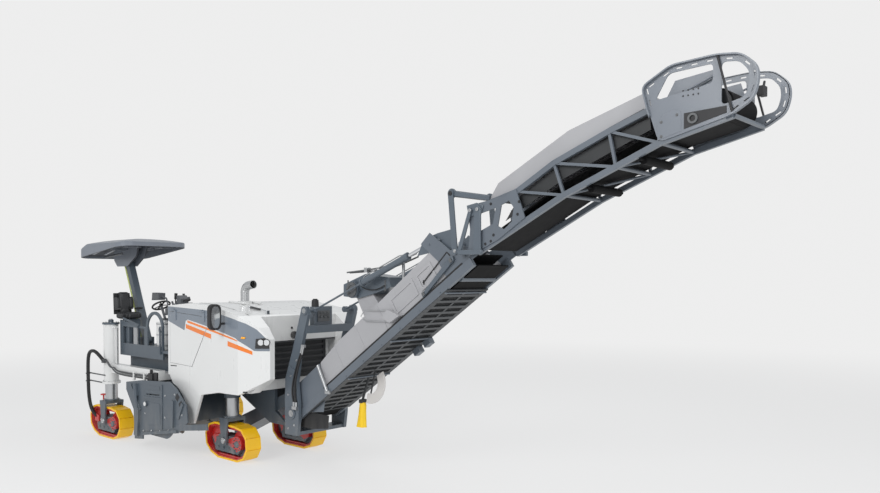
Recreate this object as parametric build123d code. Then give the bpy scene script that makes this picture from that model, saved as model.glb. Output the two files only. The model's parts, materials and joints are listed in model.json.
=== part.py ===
from build123d import *
import os
from math import acos, atan2, cos, degrees, hypot, pi, radians, sin, sqrt

# Compact cold planer on four steered track units: milling drum between the axles on the right,
# operator's platform with a folding roof at the back, loading conveyor slewed and lifted at the front.
# Millimetres. x forward along the conveyor, y left, z up from the ground, x = 0 at the front legs.
# Side outlines are lists of (x, z); plan outlines are lists of (x, y).

# Track units
TRACK_LENGTH = 1160
TRACK_HEIGHT = 550
PAD_WIDTH = 260
PAD_THICK = 45
PAD_COUNT = 16
PAD_GAP = 12
SHOE_THICK = 15
SHOE_GAP = 4
SHOE_WIDTH = 244
CHAIN_WIDTH = 200
CHAIN_THICK = 30
IDLER_RADIUS = 255
IDLER_RISE = 300
BOGIE_RADIUS = 130
BOGIE_X = -300
ROLLER_RADIUS = 62
ROLLER_COUNT = 4
FRAME_WIDTH = 220
WHEEL_WIDE = 90
RUN_GAP = 0.3
PIVOT_HEIGHT = 300
PIVOT_DIAMETER = 120
FRONT_LEG_Y = 646
REAR_LEG_X = -3070
REAR_LEG_Y = 1115
LEG_DIAMETER = 210
LEG_GAP = 1
FORK_TOP = 650
FORK_PLATE = 50
FORK_ARM_THICK = 25
FORK_ARM_WIDE = 120
FORK_GAP = 10
SLEEVE_WALL = 20
FRONT_SLEEVE_LOW = 960
REAR_SLEEVE_LOW = 950
REAR_SLEEVE_TOP = 2000

# Body
BODY_HALF = 1100
BODY_REAR = -1120
BODY_BEND_X = 840
BODY_NOSE_X = 1205
BODY_NOSE_HALF = 800
NOSE_INNER_HALF = 720
RECESS_X = 690
HOOD_FRONT = 870
HOOD_LOW = 1870
SHEET = 40
PANEL_BAND = 60
EXHAUST_RADIUS = 68
MIRROR_OUT = 170
DECK_LOW = 1150
DECK_THICK = 120
EYE_X = -2820
EYE_Y = 700
EYE_Z = 1085
EYE_HALF = 55
EYE_THICK = 30
EYE_RADIUS = 30
ROOF_PROFILE = [(-1120, 2380), (-450, 2430), (-20, 2410), (650, 2320), (840, 2270), (1072, 2100), (1205, 1930)]
SILL_PROFILE = [(1205, 1350), (840, 1120), (340, 1110), (-140, 1030), (-370, 560), (-530, 540)]
FLAP_OUTLINE = [(-1060, 1460), (-400, 1440), (140, 2225), (-1060, 2290)]
FLAP_GAP = 6
FLAP_SLANT_GAP = 16
FLAP_HINGE_Z = 2305
KNUCKLE = 24
LEAF_LONG = 150
LEAF_FREE = 85

# Milling drum and its box
DRUM_X = -1120
DRUM_Z = 640
DRUM_RADIUS = 305
PICK_RADIUS = 365
PICK_ROWS = 13
PICK_WIDE = 46
PICKS_ROUND = 6
DRUM_WIDTH = 1000
DRUM_Y = -690
BOX_CLEARANCE = 25
BOX_WALL = 20
BOX_LOW = 250
ARCH_Z = 560
ARCH_RADIUS = 592
SCRAPER_BACK = 190
SCRAPER_DROP = 30
SCRAPER_PIN = 40
DRUM_SHAFT = 180
SIDE_PLATE_Y = -1240
SIDE_PLATE_THICK = 20

# Platform and canopy
PLATFORM_FRONT = -1160
PLATFORM_REAR = -2880
PLATFORM_FLOOR = 1620
PLATFORM_HALF = 1040
FLOOR_THICK = 40
GUARD_SHEET = 30
GUARD_FRONT = -1400
GUARD_TOP = 2085
GUARD_ARCH_X = -1680
GUARD_ARCH_RADIUS = 280
GUARD_RIM = 50
ARCH_SPRING = 1980
CANISTER_RADIUS = 120
CANISTER_TOP = 2080
MAST_Y = -600
SEAT_Y = -885
SEAT_X = -2890
SEAT_LOW = 2095
SEAT_CUSHION = 120
WHEEL_CENTRE = (-2250, -600, 2340)
WHEEL_RADIUS = 150
WHEEL_TILT = 30
MAST_FOOT = (-2745, 1700)
MAST_HEAD = (-3372, 3085)
LINK_OFFSET = 190
MAST_WIDE = 120
MAST_DEEP = 110
LINK_DIAMETER = 42
MAST_PIN = 30
PIN_GAP = 0.1
MAST_CHEEK = 30
MAST_SIDE_GAP = 8
CANOPY_Y = -600
CANOPY_HALF = 650
CANOPY_REAR = -4130
CANOPY_FRONT = -2400
CANOPY_CROWN = (-3250, 3520)
CANOPY_REAR_TOP = 3250
CANOPY_REAR_LOW = 3180
CANOPY_FRONT_TOP = 3450
CANOPY_FRONT_LOW = 3385
CANOPY_CAMBER = 90
CANOPY_CORNER = 240
CANOPY_WALL = 35
CANOPY_OVER = 20

# Slewing tower and conveyor
SLEW_X = 1120
TONGUE_LOW = 560
FEED_HALF = 200
BELLY_WALL = 50
TONGUE_THICK = 40
BEARING_RADIUS = 240
TOWER_GAP = 0.3
TOWER_Y = 450
TOWER_THICK = 56
FOOT = (1280, 830)
TOWER_HEAD = (1590, 2350)
LIFT_SLOPE = 34.1
CONVEYOR_HALF = 387
LOWER_RAIL_Y = 380
END_PLATE_Y = 378
END_PLATE_THICK = 12
ROCKER_Y = 397
ROCKER_THICK = 16
TIE_Y = 372
OUTER_JOINT_Y = 418
OUTER_COVER_HALF = 352
TRUSS_WIDE = 46
CROSS_TUBE = 44
GUARD_THICK = 12
RAIL_WIDE = 50
RAIL_DEEP = 110
RAIL_TOP = -20
LOWER_LENGTH = 4071
COVER_START = 750
COVER_END = 3880
COVER_HEIGHT = 400
COVER_SHEET = 12
BELT_WIDTH = 600
BELT_THICK = 14
TAIL_RADIUS = 85
FOLD_N = 7
HEAD_DIAMETER = 80
TIE_BOSS = 120
STAY_Y = 300
STAY_EYE = (3890, 3260)
STAY_BARREL_START = 1100
OUTER_LOW = [(90, 0), (1270, 595), (1890, 840), (2370, 1030), (3090, 1200)]
OUTER_TOP = [(110, 540), (650, 680), (1140, 950), (1810, 1210), (2250, 1360)]
HEAD_DRUM = (2910, 1340)
HEAD_RADIUS = 150
GUARD_OUTLINE = [(2260, 1360), (2200, 1590), (2500, 1750), (2950, 1770), (3180, 1740), (3320, 1610),
                 (3335, 1480), (3290, 1320), (3090, 1200), (2370, 1030)]
RIM_WIDE = 40
RIM_SLOTS = 24
GUARD_SLOTS = 24
GUARD_BAR = 55


def face(points):
    """Flat face through the points, straight from one to the next."""
    return make_face(Polyline(*points, close=True))


def plate(points, y, thick, cuts=()):
    """Side outline made into a plate of the given thickness, its middle at y."""
    flat = face(points)
    for cut in cuts:
        flat -= face(cut)
    return Pos(0, y, 0) * extrude(Plane.XZ * flat, amount=thick / 2, both=True)


def slab(points, low, high):
    """Plan outline made into a slab between two heights."""
    return Pos(0, 0, low) * extrude(face(points), amount=high - low)


def block(x0, x1, y0, y1, z0, z1):
    """Block between two corners."""
    return Pos((x0 + x1) / 2, (y0 + y1) / 2, (z0 + z1) / 2) * Box(x1 - x0, y1 - y0, z1 - z0)


def beam(start, end, y, wide, deep):
    """Straight square beam between two side points."""
    run, rise = end[0] - start[0], end[1] - start[1]
    middle = Pos((start[0] + end[0]) / 2, y, (start[1] + end[1]) / 2)
    return middle * Rot(0, -degrees(atan2(rise, run)), 0) * Box(hypot(run, rise), wide, deep)


def rod(start, end, diameter):
    """Round bar between two points in space."""
    way = Vector(*end) - Vector(*start)
    return Plane(origin=start, z_dir=way) * Pos(0, 0, way.length / 2) * Cylinder(diameter / 2, way.length)


def across(x, z, y0, y1, diameter):
    """Round bar square to the side plane."""
    return rod((x, y0, z), (x, y1, z), diameter)


def both_sides(shape):
    """The shape and its mirror image on the other side of the middle."""
    return shape + mirror(shape, about=Plane.XZ)


def at_slope(s, n):
    """Side point of the conveyor, s along its rail from the foot pin and n square to it."""
    c, d = cos(radians(LIFT_SLOPE)), sin(radians(LIFT_SLOPE))
    return (FOOT[0] + s * c - n * d, FOOT[1] + s * d + n * c)


def sloped(points):
    return [at_slope(s, n) for s, n in points]


FOLD_PIN = at_slope(LOWER_LENGTH, FOLD_N)


def past_fold(points):
    """Side points of the outer section, given from the fold pin."""
    return [(FOLD_PIN[0] + x, FOLD_PIN[1] + z) for x, z in points]


ROCKER_PIN, ROCKER_HEAD, TIE_END = past_fold([(-270, 30), (-340, 730), (240, 635)])
OUTER_LOW, OUTER_TOP, GUARD_OUTLINE = past_fold(OUTER_LOW), past_fold(OUTER_TOP), past_fold(GUARD_OUTLINE)
HEAD_DRUM = past_fold([HEAD_DRUM])[0]


def loop(circles):
    """Closed line round circles given as (x, z, radius), in turn with the clock reversed."""
    edges = []
    count = len(circles)
    normals = []
    for i in range(count):
        (x0, z0, r0), (x1, z1, r1) = circles[i], circles[(i + 1) % count]
        turn = acos((r0 - r1) / hypot(x1 - x0, z1 - z0))
        normals.append(atan2(z1 - z0, x1 - x0) - turn)
    for i in range(count):
        x, z, r = circles[i]
        start, end = normals[i - 1], normals[i]
        while end < start:
            end += 2 * pi
        spots = [(x + r * cos(a), z + r * sin(a)) for a in (start, (start + end) / 2, end)]
        edges.append(ThreePointArc(*spots))
        nx, nz, nr = circles[(i + 1) % count]
        edges.append(Line(spots[2], (nx + nr * cos(end), nz + nr * sin(end))))
    return Wire([e.edge() if hasattr(e, "edge") else e for e in edges])


def loop_face(circles, inset=0):
    return make_face(loop([(x, z, r - inset) for x, z, r in circles]).edges())


SPROCKET_X = TRACK_LENGTH / 2 - TRACK_HEIGHT / 2
IDLER_X = -(TRACK_LENGTH / 2 - IDLER_RADIUS)
TRACK_CIRCLES = [
    (SPROCKET_X, TRACK_HEIGHT / 2, TRACK_HEIGHT / 2),
    (IDLER_X, IDLER_RISE, IDLER_RADIUS),
    (BOGIE_X, BOGIE_RADIUS, BOGIE_RADIUS),
]
LEGS = {  # name: (x, y, sleeve's lower end, top of the leg)
    "front_right": (0, -FRONT_LEG_Y, FRONT_SLEEVE_LOW, 1290),
    "front_left": (0, FRONT_LEG_Y, FRONT_SLEEVE_LOW, 1290),
    "rear_right": (REAR_LEG_X, -REAR_LEG_Y, REAR_SLEEVE_LOW, 1500),
    "rear_left": (REAR_LEG_X, REAR_LEG_Y, REAR_SLEEVE_LOW, 1500),
}


def make_track():
    """Chain loop with its pads, about the leg's axis."""
    chain = loop_face(TRACK_CIRCLES, PAD_THICK) - loop_face(TRACK_CIRCLES, PAD_THICK + CHAIN_THICK)
    shape = extrude(Plane.XZ * chain, amount=CHAIN_WIDTH / 2, both=True)
    path = loop(TRACK_CIRCLES)
    pitch = path.length / PAD_COUNT
    half = (pitch - PAD_GAP) / 2
    pads = []
    for k in range(PAD_COUNT):
        place = (k + 0.5) / PAD_COUNT
        spot, way = path @ place, path % place
        before, after = path % (place - 0.004), path % (place + 0.004)
        turn = before.X * after.Y - before.Y * after.X
        radius = 0.008 * path.length / turn if turn > 1e-4 else 1e6
        sink = radius - sqrt(radius ** 2 - half ** 2)
        layers = [  # (length, width, depth of its middle, thickness)
            (2 * half, PAD_WIDTH, sink + (PAD_THICK - SHOE_THICK) / 2, PAD_THICK - SHOE_THICK),
            (pitch - SHOE_GAP, SHOE_WIDTH, sink + PAD_THICK - SHOE_THICK / 2 + 1, SHOE_THICK + 2),
        ]
        for length, width, depth, thick in layers:
            centre = Pos(spot.X - way.Y * depth, 0, spot.Y + way.X * depth)
            pads.append(centre * Rot(0, -degrees(atan2(way.Y, way.X)), 0) * Box(length, width, thick))
    return shape + pads


def make_roller_frame():
    """Frame inside the chain with the drive wheel, idler, rollers, motor and pivot boss."""
    inner = PAD_THICK + CHAIN_THICK
    outline = [(-330, 200), (-300, 112), (300, 112), (390, 200), (390, 330), (200, 370), (-200, 370), (-350, 340)]
    shape = plate(outline, 0, FRAME_WIDTH)
    wheels = [
        (SPROCKET_X, TRACK_HEIGHT / 2, TRACK_HEIGHT / 2 - inner - RUN_GAP),
        (IDLER_X, IDLER_RISE, IDLER_RADIUS - inner - RUN_GAP),
    ]
    span = SPROCKET_X - BOGIE_X
    for k in range(ROLLER_COUNT):
        x = BOGIE_X + (k + 0.5) * span / ROLLER_COUNT
        wheels.append((x, inner + RUN_GAP + ROLLER_RADIUS, ROLLER_RADIUS))
    for x, z, r in wheels:
        shape += across(x, z, -WHEEL_WIDE / 2, WHEEL_WIDE / 2, 2 * r)
    shape += across(0, PIVOT_HEIGHT, -PAD_WIDTH / 2 - FORK_GAP, PAD_WIDTH / 2 + FORK_GAP, PIVOT_DIAMETER)
    shape += across(SPROCKET_X, TRACK_HEIGHT / 2, -PAD_WIDTH / 2 + 5, PAD_WIDTH / 2 - 5, 240)
    shape += across(IDLER_X, IDLER_RISE, -PAD_WIDTH / 2 + 25, PAD_WIDTH / 2 - 25, 110)
    return shape


def make_leg(top):
    """Round leg on a fork that straddles the track."""
    arm_y = PAD_WIDTH / 2 + FORK_GAP + FORK_ARM_THICK / 2
    half = FORK_ARM_WIDE / 2
    outline = [(-half, PIVOT_HEIGHT - half), (half, PIVOT_HEIGHT - half), (half + 50, FORK_TOP), (-half - 50, FORK_TOP)]
    shape = both_sides(plate(outline, arm_y, FORK_ARM_THICK))
    outer = arm_y + FORK_ARM_THICK / 2
    shape += block(-half - 50, half + 50, -outer, outer, FORK_TOP - FORK_PLATE, FORK_TOP)
    shape += Pos(0, 0, (FORK_TOP + top) / 2) * Cylinder(LEG_DIAMETER / 2, top - FORK_TOP)
    shape += Pos(0, 0, FORK_TOP + 12) * Cylinder(LEG_DIAMETER / 2 + 25, 24)
    return shape


def make_sleeve(x, y, low, top):
    """Guide tube round a leg."""
    bore = LEG_DIAMETER / 2 + LEG_GAP
    height = top - low
    tube = Cylinder(bore + SLEEVE_WALL, height) - Cylinder(bore, height)
    return Pos(x, y, (low + top) / 2) * tube


parts = {}

for name, (leg_x, leg_y, sleeve_low, leg_top) in LEGS.items():
    parts[f"leg_{name}"] = Pos(leg_x, leg_y, 0) * make_leg(leg_top)
    parts[f"roller_frame_{name}"] = Pos(leg_x, leg_y, 0) * make_roller_frame()
    parts[f"track_{name}"] = Pos(leg_x, leg_y, 0) * make_track()


def make_body_shell():
    """White body: side outline and plan outline crossed, hollow, with its arch over the drum box."""
    side = ROOF_PROFILE + SILL_PROFILE
    deck_top = DECK_LOW + DECK_THICK
    rear_sill = [(BODY_REAR + SHEET, deck_top), (BODY_REAR, deck_top)]
    outer = extrude(Plane.XZ * face(side + rear_sill), amount=BODY_HALF, both=True)
    arch = across(DRUM_X, ARCH_Z, -BODY_HALF - 10, BODY_HALF + 10, 2 * ARCH_RADIUS)
    plan = [
        (BODY_REAR, -BODY_HALF), (BODY_BEND_X, -BODY_HALF), (BODY_NOSE_X, -BODY_NOSE_HALF),
        (BODY_NOSE_X, -NOSE_INNER_HALF), (RECESS_X, -NOSE_INNER_HALF), (RECESS_X, NOSE_INNER_HALF),
        (BODY_NOSE_X, NOSE_INNER_HALF), (BODY_NOSE_X, BODY_NOSE_HALF), (BODY_BEND_X, BODY_HALF),
        (BODY_REAR, BODY_HALF),
    ]
    inner_plan = [
        (BODY_REAR + SHEET, -BODY_HALF + SHEET), (BODY_BEND_X - 16, -BODY_HALF + SHEET),
        (RECESS_X - SHEET + 330, -BODY_NOSE_HALF - 95), (RECESS_X - SHEET, -BODY_NOSE_HALF - 95),
        (RECESS_X - SHEET, BODY_NOSE_HALF + 95), (RECESS_X - SHEET + 330, BODY_NOSE_HALF + 95),
        (BODY_BEND_X - 16, BODY_HALF - SHEET), (BODY_REAR + SHEET, BODY_HALF - SHEET),
    ]
    front = block(RECESS_X - 1, HOOD_FRONT, -NOSE_INNER_HALF, NOSE_INNER_HALF, HOOD_LOW, 3000)
    outer = (outer & (slab(plan, 0, 3000) + front)) - arch
    roof = [(x, z - SHEET) for x, z in ROOF_PROFILE if x <= BODY_BEND_X]
    hollow_side = [(roof[0][0], 0)] + roof + [(1100, 1950), (1100, 0)]
    inner = extrude(Plane.XZ * face(hollow_side), amount=BODY_HALF, both=True)
    nose_half = NOSE_INNER_HALF - SHEET
    hollow = slab(inner_plan, 0, 3000)
    hollow += block(RECESS_X - SHEET - 1, HOOD_FRONT - SHEET, -nose_half, nose_half, HOOD_LOW + SHEET, 3000)
    return outer - (inner & hollow)


shell = make_body_shell()
band = [
    (BODY_REAR - 10, -BODY_HALF - 10), (BODY_NOSE_X + 10, -BODY_HALF - 10), (BODY_NOSE_X + 10, -NOSE_INNER_HALF),
    (BODY_BEND_X - 20, -BODY_HALF + PANEL_BAND), (BODY_REAR - 10, -BODY_HALF + PANEL_BAND),
]
right_band = slab(band, 0, 3000)
left_band = mirror(right_band, about=Plane.XZ)
panel_right = shell & right_band
flap_hole = plate(FLAP_OUTLINE, -BODY_HALF, 2 * SHEET)
flap = [
    (FLAP_OUTLINE[0][0] + FLAP_GAP, FLAP_OUTLINE[0][1] + FLAP_GAP),
    (FLAP_OUTLINE[1][0] - FLAP_SLANT_GAP, FLAP_OUTLINE[1][1] + FLAP_GAP),
    (FLAP_OUTLINE[2][0] - FLAP_SLANT_GAP, FLAP_OUTLINE[2][1] - FLAP_GAP),
    (FLAP_OUTLINE[3][0] + FLAP_GAP, FLAP_OUTLINE[3][1] - FLAP_GAP),
]
FLAP_HINGE_Y = -BODY_HALF - KNUCKLE / 2 - RUN_GAP
knuckles = None
leaves = None
for x in (-980, -150):
    fixed = rod((x, FLAP_HINGE_Y, FLAP_HINGE_Z), (x + 60, FLAP_HINGE_Y, FLAP_HINGE_Z), KNUCKLE)
    fixed += block(x, x + 60, FLAP_HINGE_Y, -BODY_HALF, FLAP_HINGE_Z, FLAP_HINGE_Z + 30)
    start, end = x + 60 + RUN_GAP, x + 120
    swung = rod((start, FLAP_HINGE_Y, FLAP_HINGE_Z), (end, FLAP_HINGE_Y, FLAP_HINGE_Z), KNUCKLE)
    swung += block(start, end, FLAP_HINGE_Y, -BODY_HALF - RUN_GAP, FLAP_HINGE_Z - LEAF_FREE, FLAP_HINGE_Z)
    swung += block(start, end, FLAP_HINGE_Y, -BODY_HALF, FLAP_HINGE_Z - LEAF_LONG, FLAP_HINGE_Z - LEAF_FREE)
    knuckles = fixed if knuckles is None else knuckles + fixed
    leaves = swung if leaves is None else leaves + swung
parts["side_panel_right"] = panel_right - flap_hole + knuckles
parts["side_panel_left"] = shell & left_band
parts["side_flap"] = plate(flap, -BODY_HALF + SHEET / 2, SHEET) + leaves
parts["hood"] = shell - right_band - left_band

parts["engine_block"] = block(-900, 500, -480, 480, DECK_LOW + DECK_THICK, 2150)


def front_beam():
    """Cross beam under the deck that the front leg sleeves pass through."""
    half = FRONT_LEG_Y + 190
    return block(-170, 170, -half, half, 1060, DECK_LOW)


def make_chassis():
    """Deck with the front cross beam and the lashing eyes."""
    shape = block(-2880, 640, -900, 900, DECK_LOW, DECK_LOW + DECK_THICK) + front_beam()
    for y in (-FRONT_LEG_Y, FRONT_LEG_Y):
        shape -= Pos(0, y, DECK_LOW) * Cylinder(LEG_DIAMETER / 2 + LEG_GAP + SLEEVE_WALL, 600)
    for y in (-EYE_Y, EYE_Y):
        low, high = y - EYE_THICK / 2, y + EYE_THICK / 2
        lug = block(EYE_X - EYE_HALF, EYE_X + EYE_HALF, low, high, EYE_Z, DECK_LOW)
        lug += across(EYE_X, EYE_Z, low, high, 2 * EYE_HALF)
        shape += lug - across(EYE_X, EYE_Z, low - 10, high + 10, 2 * EYE_RADIUS)
    return shape


def make_tongue():
    """Belly walls under the deck and the tongue with the bearing plate of the slewing tower."""
    wall = [(-500, 1150), (-430, 960), (430, 560), (820, 560), (820, 600), (560, 760), (560, 1150)]
    shape = both_sides(plate(wall, FEED_HALF + BELLY_WALL / 2, BELLY_WALL))
    tongue = block(600, SLEW_X, -255, 255, TONGUE_LOW, TONGUE_LOW + TONGUE_THICK)
    tongue += Pos(SLEW_X, 0, TONGUE_LOW + TONGUE_THICK / 2) * Cylinder(BEARING_RADIUS, TONGUE_THICK)
    return shape + tongue - front_beam()


parts["chassis"] = make_chassis()
parts["slew_tongue"] = make_tongue()
parts["front_leg_sleeves"] = (
    make_sleeve(0, -FRONT_LEG_Y, FRONT_SLEEVE_LOW, 1310) + make_sleeve(0, FRONT_LEG_Y, FRONT_SLEEVE_LOW, 1310)
)


def make_rear_leg_sleeves():
    """White guide towers of the rear legs, capped, each on its cantilever arm to the deck."""
    shape = None
    for side in (-1, 1):
        y = side * REAR_LEG_Y
        tower = make_sleeve(REAR_LEG_X, y, REAR_SLEEVE_LOW, REAR_SLEEVE_TOP)
        tower += Pos(REAR_LEG_X, y, REAR_SLEEVE_TOP + 15) * Cylinder(LEG_DIAMETER / 2 + 40, 30)
        tower += Pos(REAR_LEG_X, y, REAR_SLEEVE_TOP + 50) * Cylinder(45, 60)
        arm = block(REAR_LEG_X, -1300, y - 60, y + 60, DECK_LOW, DECK_LOW + 160)
        arm += block(-1500, -1300, min(side * 900, y), max(side * 900, y), DECK_LOW, DECK_LOW + DECK_THICK)
        arm -= Pos(REAR_LEG_X, y, 1200) * Cylinder(LEG_DIAMETER / 2 + LEG_GAP + SLEEVE_WALL / 2, 600)
        tower += arm
        tower += Pos(REAR_LEG_X, y, REAR_SLEEVE_LOW + 20) * (
            Cylinder(LEG_DIAMETER / 2 + 50, 40) - Cylinder(LEG_DIAMETER / 2 + LEG_GAP, 40)
        )
        for out in (155, 200):
            tower += rod((REAR_LEG_X + out, y, 1300), (REAR_LEG_X + out, y, 1960), 28)
        tower += block(REAR_LEG_X + 100, REAR_LEG_X + 225, y - 30, y + 30, 1940, 1970)
        shape = tower if shape is None else shape + tower
    return shape


parts["rear_leg_towers"] = make_rear_leg_sleeves()


BOX_REACH = PICK_RADIUS + BOX_CLEARANCE
BOX_REAR = DRUM_X - BOX_REACH - 130
BOX_RIGHT = DRUM_Y - DRUM_WIDTH / 2 - BOX_WALL
BOX_LEFT = DRUM_Y + DRUM_WIDTH / 2 + BOX_WALL
SCRAPER_HINGE = (DRUM_X - BOX_REACH - SCRAPER_BACK, DRUM_Z + BOX_REACH - SCRAPER_DROP)


def make_drum_box():
    """Box over the drum, open below, with an arched front wall, hung from the deck on two webs."""
    top = DRUM_Z + BOX_REACH + BOX_WALL
    outer = block(BOX_REAR, DRUM_X, BOX_RIGHT, BOX_LEFT, BOX_LOW, top)
    front = across(DRUM_X, DRUM_Z, BOX_RIGHT, BOX_LEFT, 2 * (BOX_REACH + BOX_WALL))
    outer += front & block(DRUM_X, 0, BOX_RIGHT, BOX_LEFT, BOX_LOW, top)
    low_y, high_y = BOX_RIGHT + BOX_WALL, BOX_LEFT - BOX_WALL
    inner = block(BOX_REAR - 10, DRUM_X, low_y, high_y, 0, DRUM_Z + BOX_REACH)
    inner += across(DRUM_X, DRUM_Z, low_y, high_y, 2 * BOX_REACH)
    inner += block(DRUM_X - 10, DRUM_X + BOX_REACH, low_y, high_y, 0, DRUM_Z)
    shape = outer - inner
    for x in (BOX_REAR + 40, DRUM_X):
        shape += block(x, x + BOX_WALL, BOX_RIGHT, BOX_LEFT, top - 1, DECK_LOW)
    for x in (-1560, -940):
        shape += block(x, x + 60, SIDE_PLATE_Y + SIDE_PLATE_THICK / 2, BOX_RIGHT, 500, 980)
    x, z = SCRAPER_HINGE
    for wall in (BOX_RIGHT, BOX_LEFT - BOX_WALL):
        shape += block(x - 40, BOX_REAR, wall, wall + BOX_WALL, z - 45, z + 45)
    shape += across(x, z, low_y, low_y + 60, SCRAPER_PIN)
    shape += across(x, z, high_y - 60, high_y, SCRAPER_PIN)
    return shape


parts["drum_box"] = make_drum_box()


def make_drum():
    """Drum tube with rows of cutting tools wound round it."""
    start = DRUM_Y - DRUM_WIDTH / 2 + 5
    shape = across(DRUM_X, DRUM_Z, start, start + DRUM_WIDTH - 10, 2 * DRUM_RADIUS)
    shape += across(DRUM_X, DRUM_Z, start - 5 + RUN_GAP, start + DRUM_WIDTH - 5 - RUN_GAP, DRUM_SHAFT)
    reach = PICK_RADIUS - DRUM_RADIUS
    tool = Pos(0, 0, DRUM_RADIUS - 8) * extrude(Rectangle(PICK_WIDE, PICK_WIDE), amount=reach + 8, taper=14)
    tools = []
    for row in range(PICK_ROWS):
        y = start + 40 + row * (DRUM_WIDTH - 90) / (PICK_ROWS - 1)
        for k in range(PICKS_ROUND):
            angle = 360 / PICKS_ROUND * k + row * 360 / PICKS_ROUND / 4
            tools.append(Pos(DRUM_X, y, DRUM_Z) * Rot(0, angle, 0) * tool)
    return shape + tools


parts["milling_drum"] = make_drum()


def make_scraper():
    """Blade that closes the drum box behind, with its hinge tube at the top."""
    x, z = SCRAPER_HINGE
    half = DRUM_WIDTH / 2 - 10
    shape = block(x - 15, x + 15, DRUM_Y - half, DRUM_Y + half, BOX_LOW - 10, z)
    shape += across(x, z, DRUM_Y - half, DRUM_Y + half, 70)
    return shape - across(x, z, DRUM_Y - DRUM_WIDTH, DRUM_Y + DRUM_WIDTH, SCRAPER_PIN + 2 * PIN_GAP)


parts["scraper"] = make_scraper()

SIDE_PLATE = [(-1970, 130), (-1690, 160), (-1690, 230), (-580, 400), (-290, 600), (-330, 860), (-620, 1090),
              (-820, 1180), (-1740, 1130), (-2250, 1060), (-2250, 930), (-2000, 620)]


def make_side_plate():
    """Floating side plate with its hand slot, ribs, lifting strut, knob and the runner to the front."""
    outer = SIDE_PLATE_Y - SIDE_PLATE_THICK / 2
    slot = [(-1560, 905), (-1140, 930), (-1140, 955), (-1560, 930)]
    shape = plate(SIDE_PLATE, SIDE_PLATE_Y, SIDE_PLATE_THICK, (slot,))
    ribs = [  # (start, end, height of the rib, how far it stands out)
        ((-1690, 250), (-600, 430), 46, 26), ((-1650, 860), (-1050, 890), 26, 14), ((-1060, 400), (-1050, 1120), 26, 14),
        ((-720, 480), (-700, 900), 60, 30), ((-1740, 640), (-2080, 1040), 40, 22), ((-560, 640), (-420, 880), 60, 18),
    ]
    for start, end, high, out in ribs:
        shape += beam(start, end, outer - out / 2, out, high)
    strut_y = outer - 32
    shape += rod((-1900, strut_y, 1060), (-1800, strut_y, 560), 46)
    shape += beam((-1900, 1060), (-1860, 860), outer - 20, 40, 90) + beam((-1820, 660), (-1870, 200), outer - 20, 40, 110)
    shape += across(-1560, 760, outer - 30, outer, 90)
    return shape + beam((-620, 480), (250, 600), SIDE_PLATE_Y, 30, 90)


parts["side_plate_right"] = make_side_plate()
left_plate = [(-1790, 260), (-640, 400), (-640, 1000), (-1740, 1030)]
parts["side_plate_left"] = plate(left_plate, BOX_LEFT + SIDE_PLATE_THICK / 2, SIDE_PLATE_THICK)


def side_guard(y):
    """Side wall of the platform: an open bay for the way in and an arched bay in front of it."""
    wall = [(PLATFORM_REAR, PLATFORM_FLOOR - 150), (GUARD_FRONT, PLATFORM_FLOOR - 150), (GUARD_FRONT, ARCH_SPRING),
            (GUARD_ARCH_X - GUARD_ARCH_RADIUS, ARCH_SPRING), (PLATFORM_REAR, GUARD_TOP)]
    bay = [(PLATFORM_REAR + 110, PLATFORM_FLOOR + 60), (GUARD_ARCH_X - GUARD_ARCH_RADIUS - 60, PLATFORM_FLOOR + 60),
           (GUARD_ARCH_X - GUARD_ARCH_RADIUS - 60, ARCH_SPRING - 20), (PLATFORM_REAR + 110, GUARD_TOP - 110)]
    inner = GUARD_ARCH_RADIUS - GUARD_RIM
    low, high = y - GUARD_SHEET / 2, y + GUARD_SHEET / 2
    shape = plate(wall, y, GUARD_SHEET, (bay,)) + across(GUARD_ARCH_X, ARCH_SPRING, low, high, 2 * GUARD_ARCH_RADIUS)
    shape -= across(GUARD_ARCH_X, ARCH_SPRING, low - 10, high + 10, 2 * inner)
    return shape - block(GUARD_ARCH_X - inner, GUARD_ARCH_X + inner, low - 10, high + 10, PLATFORM_FLOOR + 60, ARCH_SPRING)


def make_platform():
    """Platform body, floor and side guards."""
    base_low = DECK_LOW + DECK_THICK
    half = PLATFORM_HALF
    shape = block(PLATFORM_REAR, PLATFORM_FRONT, -half, half, PLATFORM_FLOOR - FLOOR_THICK, PLATFORM_FLOOR)
    shape += block(PLATFORM_REAR + 60, PLATFORM_FRONT - 20, -880, 880, base_low, PLATFORM_FLOOR - FLOOR_THICK)
    shape += both_sides(side_guard(half - GUARD_SHEET / 2))
    shape += block(PLATFORM_FRONT - 40, PLATFORM_FRONT - 10, -900, 900, PLATFORM_FLOOR, 2150)
    shape += block(-2680, -2610, -half + GUARD_SHEET, -half + GUARD_SHEET + 50, PLATFORM_FLOOR, GUARD_TOP)
    return shape


parts["platform"] = make_platform()
canister_high = CANISTER_TOP - PLATFORM_FLOOR
canister_y = -PLATFORM_HALF + GUARD_SHEET + CANISTER_RADIUS + 30
parts["canister"] = Pos(GUARD_ARCH_X, canister_y, PLATFORM_FLOOR + canister_high / 2) * (
    Cylinder(CANISTER_RADIUS, canister_high) + Pos(0, 0, canister_high / 2) * Cylinder(45, 60)
)


def make_seat():
    """Seat cushion and back."""
    cushion = Box(460, 430, SEAT_CUSHION)
    back = Box(110, 410, 440)
    return (Pos(SEAT_X + 30, SEAT_Y, SEAT_LOW + SEAT_CUSHION / 2) * chamfer(cushion.edges(), 28)
            + Pos(SEAT_X - 160, SEAT_Y, 2370) * Rot(0, -8, 0) * chamfer(back.edges(), 28))


parts["operator_seat"] = make_seat()
parts["seat_stand"] = block(-2870, -2720, SEAT_Y - 110, SEAT_Y + 140, PLATFORM_FLOOR, SEAT_LOW)


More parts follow.
